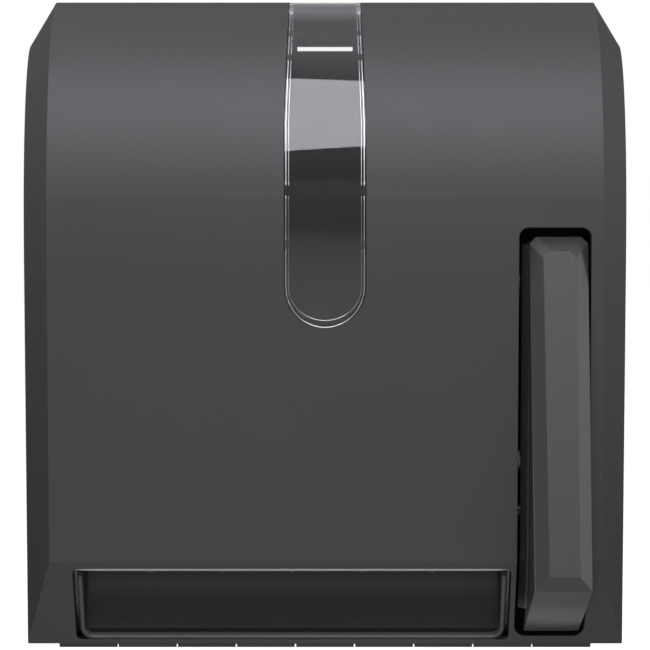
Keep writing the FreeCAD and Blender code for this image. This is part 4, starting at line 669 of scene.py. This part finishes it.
def edge_bead(name, inset, foot, radius, top_share, low_share):
    """A bead inset from the pane's sides, down one, round a half ellipse to foot and up the other. Its
    radius is times top_share over the brow and times low_share below the bend, but full again at the foot
    of the arch. It dips at each tab break between two swellings."""
    side_run = np.arange(bead_start, run_at(arch_middle), 0.0005)
    side_z = on_skyline(side_run)[:, 1]
    narrowing = (pane_half - pane_top_half) * np.clip((side_z - pane_taper) / (pane_top - pane_taper), 0, 1)
    bend = np.linspace(0, math.pi, 150)[1:-1]
    arch_run = run_at(arch_middle - (arch_middle - foot) * np.sin(bend))
    side_x = pane_half - inset - narrowing
    x = np.concatenate([-side_x, -(pane_half - inset) * np.cos(bend), side_x[::-1]])
    run = np.concatenate([side_run, arch_run, side_run[::-1]])
    y, z = on_skyline(run).T
    outward = outward_of(on_skyline(run + 0.001) - on_skyline(run - 0.001))
    size = np.full(len(x), radius)
    for height, half, left in tab_breaks:
        gap = abs(z - height)
        size *= 1 - (1 - left) * (1 - smooth_step((gap - half) / tab_ramp))
        size *= 1 + swelling_size * np.exp(-((gap - half - swelling_at) / tab_ramp) ** 2)
    size *= top_share + (1 - top_share) * smooth_step((brow_line - z) / brow_blend)
    above_arch = 1 - smooth_step((foot + 0.008 - z) / 0.007)
    size *= 1 - (1 - low_share) * smooth_step((low_line - z) / low_blend) * above_arch
    path = np.stack([x, y, z], axis=-1) + outward * bead_lift
    closed_skin(name, carried(path, outward, size, 0.6 * size, columns=10)[None],
                polished_edge, "cover", crease=70)


edge_bead("window_outer_bead", 0.0011, -0.0013, 0.00030, 0.4, 0.55)
edge_bead("window_inner_bead", 0.0026, 0.0024, 0.00018, 0.5, 0.35)

# A dull black ledge of the cover lies under the pane's top end and carries it.
ledge_black = moulded_finish("ledge_black", 0.008, 0.012, 0.85, 0.05)
ledge_start, ledge_foot, ledge_depth, ledge_half, ledge_half_thick = 0.0025, 0.170, 0.0031, 0.0175, 0.0006
ledge_line = on_skyline(np.linspace(ledge_start, run_at(ledge_foot), 24))
ledge_out = outward_of(np.gradient(ledge_line, axis=0))
ledge_path = np.insert(ledge_line, 0, 0, axis=1) - ledge_out * ledge_depth
ledge_skin = carried(ledge_path, ledge_out, ledge_half, ledge_half_thick, boxy=0.2, columns=16)
closed_skin("window_ledge", ledge_skin[None], ledge_black, "cover", crease=40)


# ----------------------------------------------------------------------- studio
# A pale floor some way under the hanging dispenser, and a plain bright room around it. A wide
# softbox hangs high in front and a smaller one stands at each side. The camera is level with
# the middle of the cover, as in the photograph.

floor_radius, floor_level, floor_corners = 8.0, -0.26, 96
floor_white = grey(0.68)
over_white = 1.4


def ray_kind(finish, kind):
    """1 for rays of that kind and 0 for the rest."""
    return finish.node("ShaderNodeLightPath", out=f"Is {kind} Ray")


def floor_finish():
    """Pale painted floor that looks white from anywhere but keeps the shadow that falls on it. A mirror
    shows it only in front of the dispenser, evenly lit and dimmer with distance, as the lit part of
    a studio floor is small."""
    finish = Finish("studio_floor")
    reach = finish.node("ShaderNodeVectorMath", {"operation": "LENGTH"}, {0: finish.place}, out="Value")
    across = finish.node("ShaderNodeSeparateXYZ", {}, {"Vector": finish.place}, out="X")
    along = finish.node("ShaderNodeSeparateXYZ", {}, {"Vector": finish.place}, out="Y")
    in_front = finish.step(-1 * along - 0.8 * across.sign("ABSOLUTE", across), -0.35, 0.25)
    near = 1.2 - 0.5 * finish.step(reach, 1.3, 2.6) - 0.55 * finish.step(reach, 2.4, 6.0)
    direct, through, glossy = (ray_kind(finish, kind) for kind in ("Camera", "Transmission", "Glossy"))
    seen = direct.sign("MAXIMUM", direct, through)
    glow = over_white * seen + glossy * near * in_front
    finish.skin(
        Base_Color=finish.blend(glossy, grey(0.5), grey(0.0)),
        Roughness=0.9,
        Specular_IOR_Level=0.0,
        Emission_Color=finish.node("ShaderNodeMix", {"data_type": "RGBA", "clamp_factor": False}, {
            0: glow, 6: grey(0.0), 7: floor_white}, out=2),
        Emission_Strength=1.0)
    return finish


rim_turn = np.linspace(0, 2 * math.pi, floor_corners, endpoint=False)
floor_points = np.stack([floor_radius * np.cos(rim_turn), floor_radius * np.sin(rim_turn),
                         np.full(floor_corners, floor_level)], axis=-1)
floor_mesh = bpy.data.meshes.new("studio_floor")
floor_mesh.from_pydata(floor_points, [], [list(range(floor_corners))])
floor = bpy.data.objects.new("studio_floor", floor_mesh)
bpy.context.scene.collection.objects.link(floor)
floor_mesh.materials.append(floor_finish().material)

room_light = 0.15
cool_white = (0.98, 0.98, 1.04, 1.0)
world = bpy.data.worlds.new("studio_room")
bpy.context.scene.world = world
world.use_nodes = True


class Room(Finish):
    """The world's own nodes, made with the same method. place is the direction that a ray goes."""

    def __init__(self, tree):
        self.tree = tree
        self.tree.nodes.clear()
        self.place = self.node("ShaderNodeTexCoord", out="Generated")


room = Room(world.node_tree)
behind = room.node("ShaderNodeSeparateXYZ", {}, {"Vector": room.place}, out="Y")
above = room.node("ShaderNodeSeparateXYZ", {}, {"Vector": room.place}, out="Z")
beside = room.node("ShaderNodeSeparateXYZ", {}, {"Vector": room.place}, out="X")
front_wall = 0.62 * room.step(above, -0.11, 0.33)
back_wall = 0.2 + 0.8 * room.step(behind, 0.90, 0.97)
side_wall = 0.4 * room.step(beside.sign("ABSOLUTE", beside), 0.4, 0.85)
ceiling = 0.9 * room.step(above, 0.6, 0.95)
mirrored = room.step(behind, -0.25, 0.15)
mirrored = mirrored * back_wall + (1 - mirrored) * front_wall + ceiling + side_wall
low_backdrop = 1 - room.step(above, 0.13, 0.2)
seen = room.step(ray_kind(room, "Camera") + ray_kind(room, "Transmission") * low_backdrop, 0.0, 1.0)
glossy = ray_kind(room, "Glossy")
level = (1 - seen) * (glossy * mirrored + (1 - glossy) * room_light)
paint = room.node("ShaderNodeMix", {"data_type": "RGBA", "clamp_factor": False}, {
    0: level, 6: grey(0.0), 7: cool_white}, out=2)
paint = room.node("ShaderNodeMix", {"data_type": "RGBA"}, {0: seen, 6: paint, 7: grey(1.0)}, out=2)
sky = room.node("ShaderNodeBackground", {}, {"Color": paint, "Strength": 1.0})
world_out = world.node_tree.nodes.new("ShaderNodeOutputWorld")
world.node_tree.links.new(sky.socket, world_out.inputs["Surface"])


def soft_light(name, width, height, power, aim, distance, azimuth, elevation):
    """A rectangular softbox that faces aim from that distance, azimuth (0 is in front) and elevation."""
    lamp = bpy.data.lights.new(name, "AREA")
    lamp.shape = "RECTANGLE"
    lamp.size = width
    lamp.size_y = height
    lamp.energy = power
    lamp.color = cool_white[:3]
    box_object = bpy.data.objects.new(name, lamp)
    bpy.context.scene.collection.objects.link(box_object)
    turn, lift = math.radians(azimuth), math.radians(elevation)
    box_object.location = np.array(aim) + distance * np.array(
        [math.sin(turn) * math.cos(lift), -math.cos(turn) * math.cos(lift), math.sin(lift)])
    box_object.rotation_euler = (math.pi / 2 - lift, 0, turn)
    return box_object


soft_light("softbox_front", 1.4, 0.85, 25.0, (0.0, -0.20, 0.13), 1.6, 0.0, 33.0)
soft_light("softbox_right", 0.45, 1.0, 7.0, (0.13, -0.22, -0.05), 1.5, 86.0, 8.0)
soft_light("softbox_left", 0.5, 0.5, 5.0, (0.12, -0.21, 0.05), 1.5, -90.0, 45.0)
# A light beside the camera reaches into the gaps. Nothing mirrors it, as if it were cross-polarised.
gap_light = soft_light("gap_light", 0.6, 0.6, 30.0, (0.0, -0.20, 0.0), 1.9, 0.0, 2.0)
gap_light.visible_glossy = False
gap_light.visible_transmission = False

camera_distance = 1.624
camera = bpy.data.cameras.new("photo_camera")
camera.sensor_width = 36.0
camera.lens = 144.0
camera_object = bpy.data.objects.new("photo_camera", camera)
bpy.context.scene.collection.objects.link(camera_object)
camera_object.location = (0.0, -camera_distance, 0.0)
camera_object.rotation_euler = (math.pi / 2, 0, 0)
bpy.context.scene.camera = camera_object
bpy.context.scene.view_settings.view_transform = "Standard"
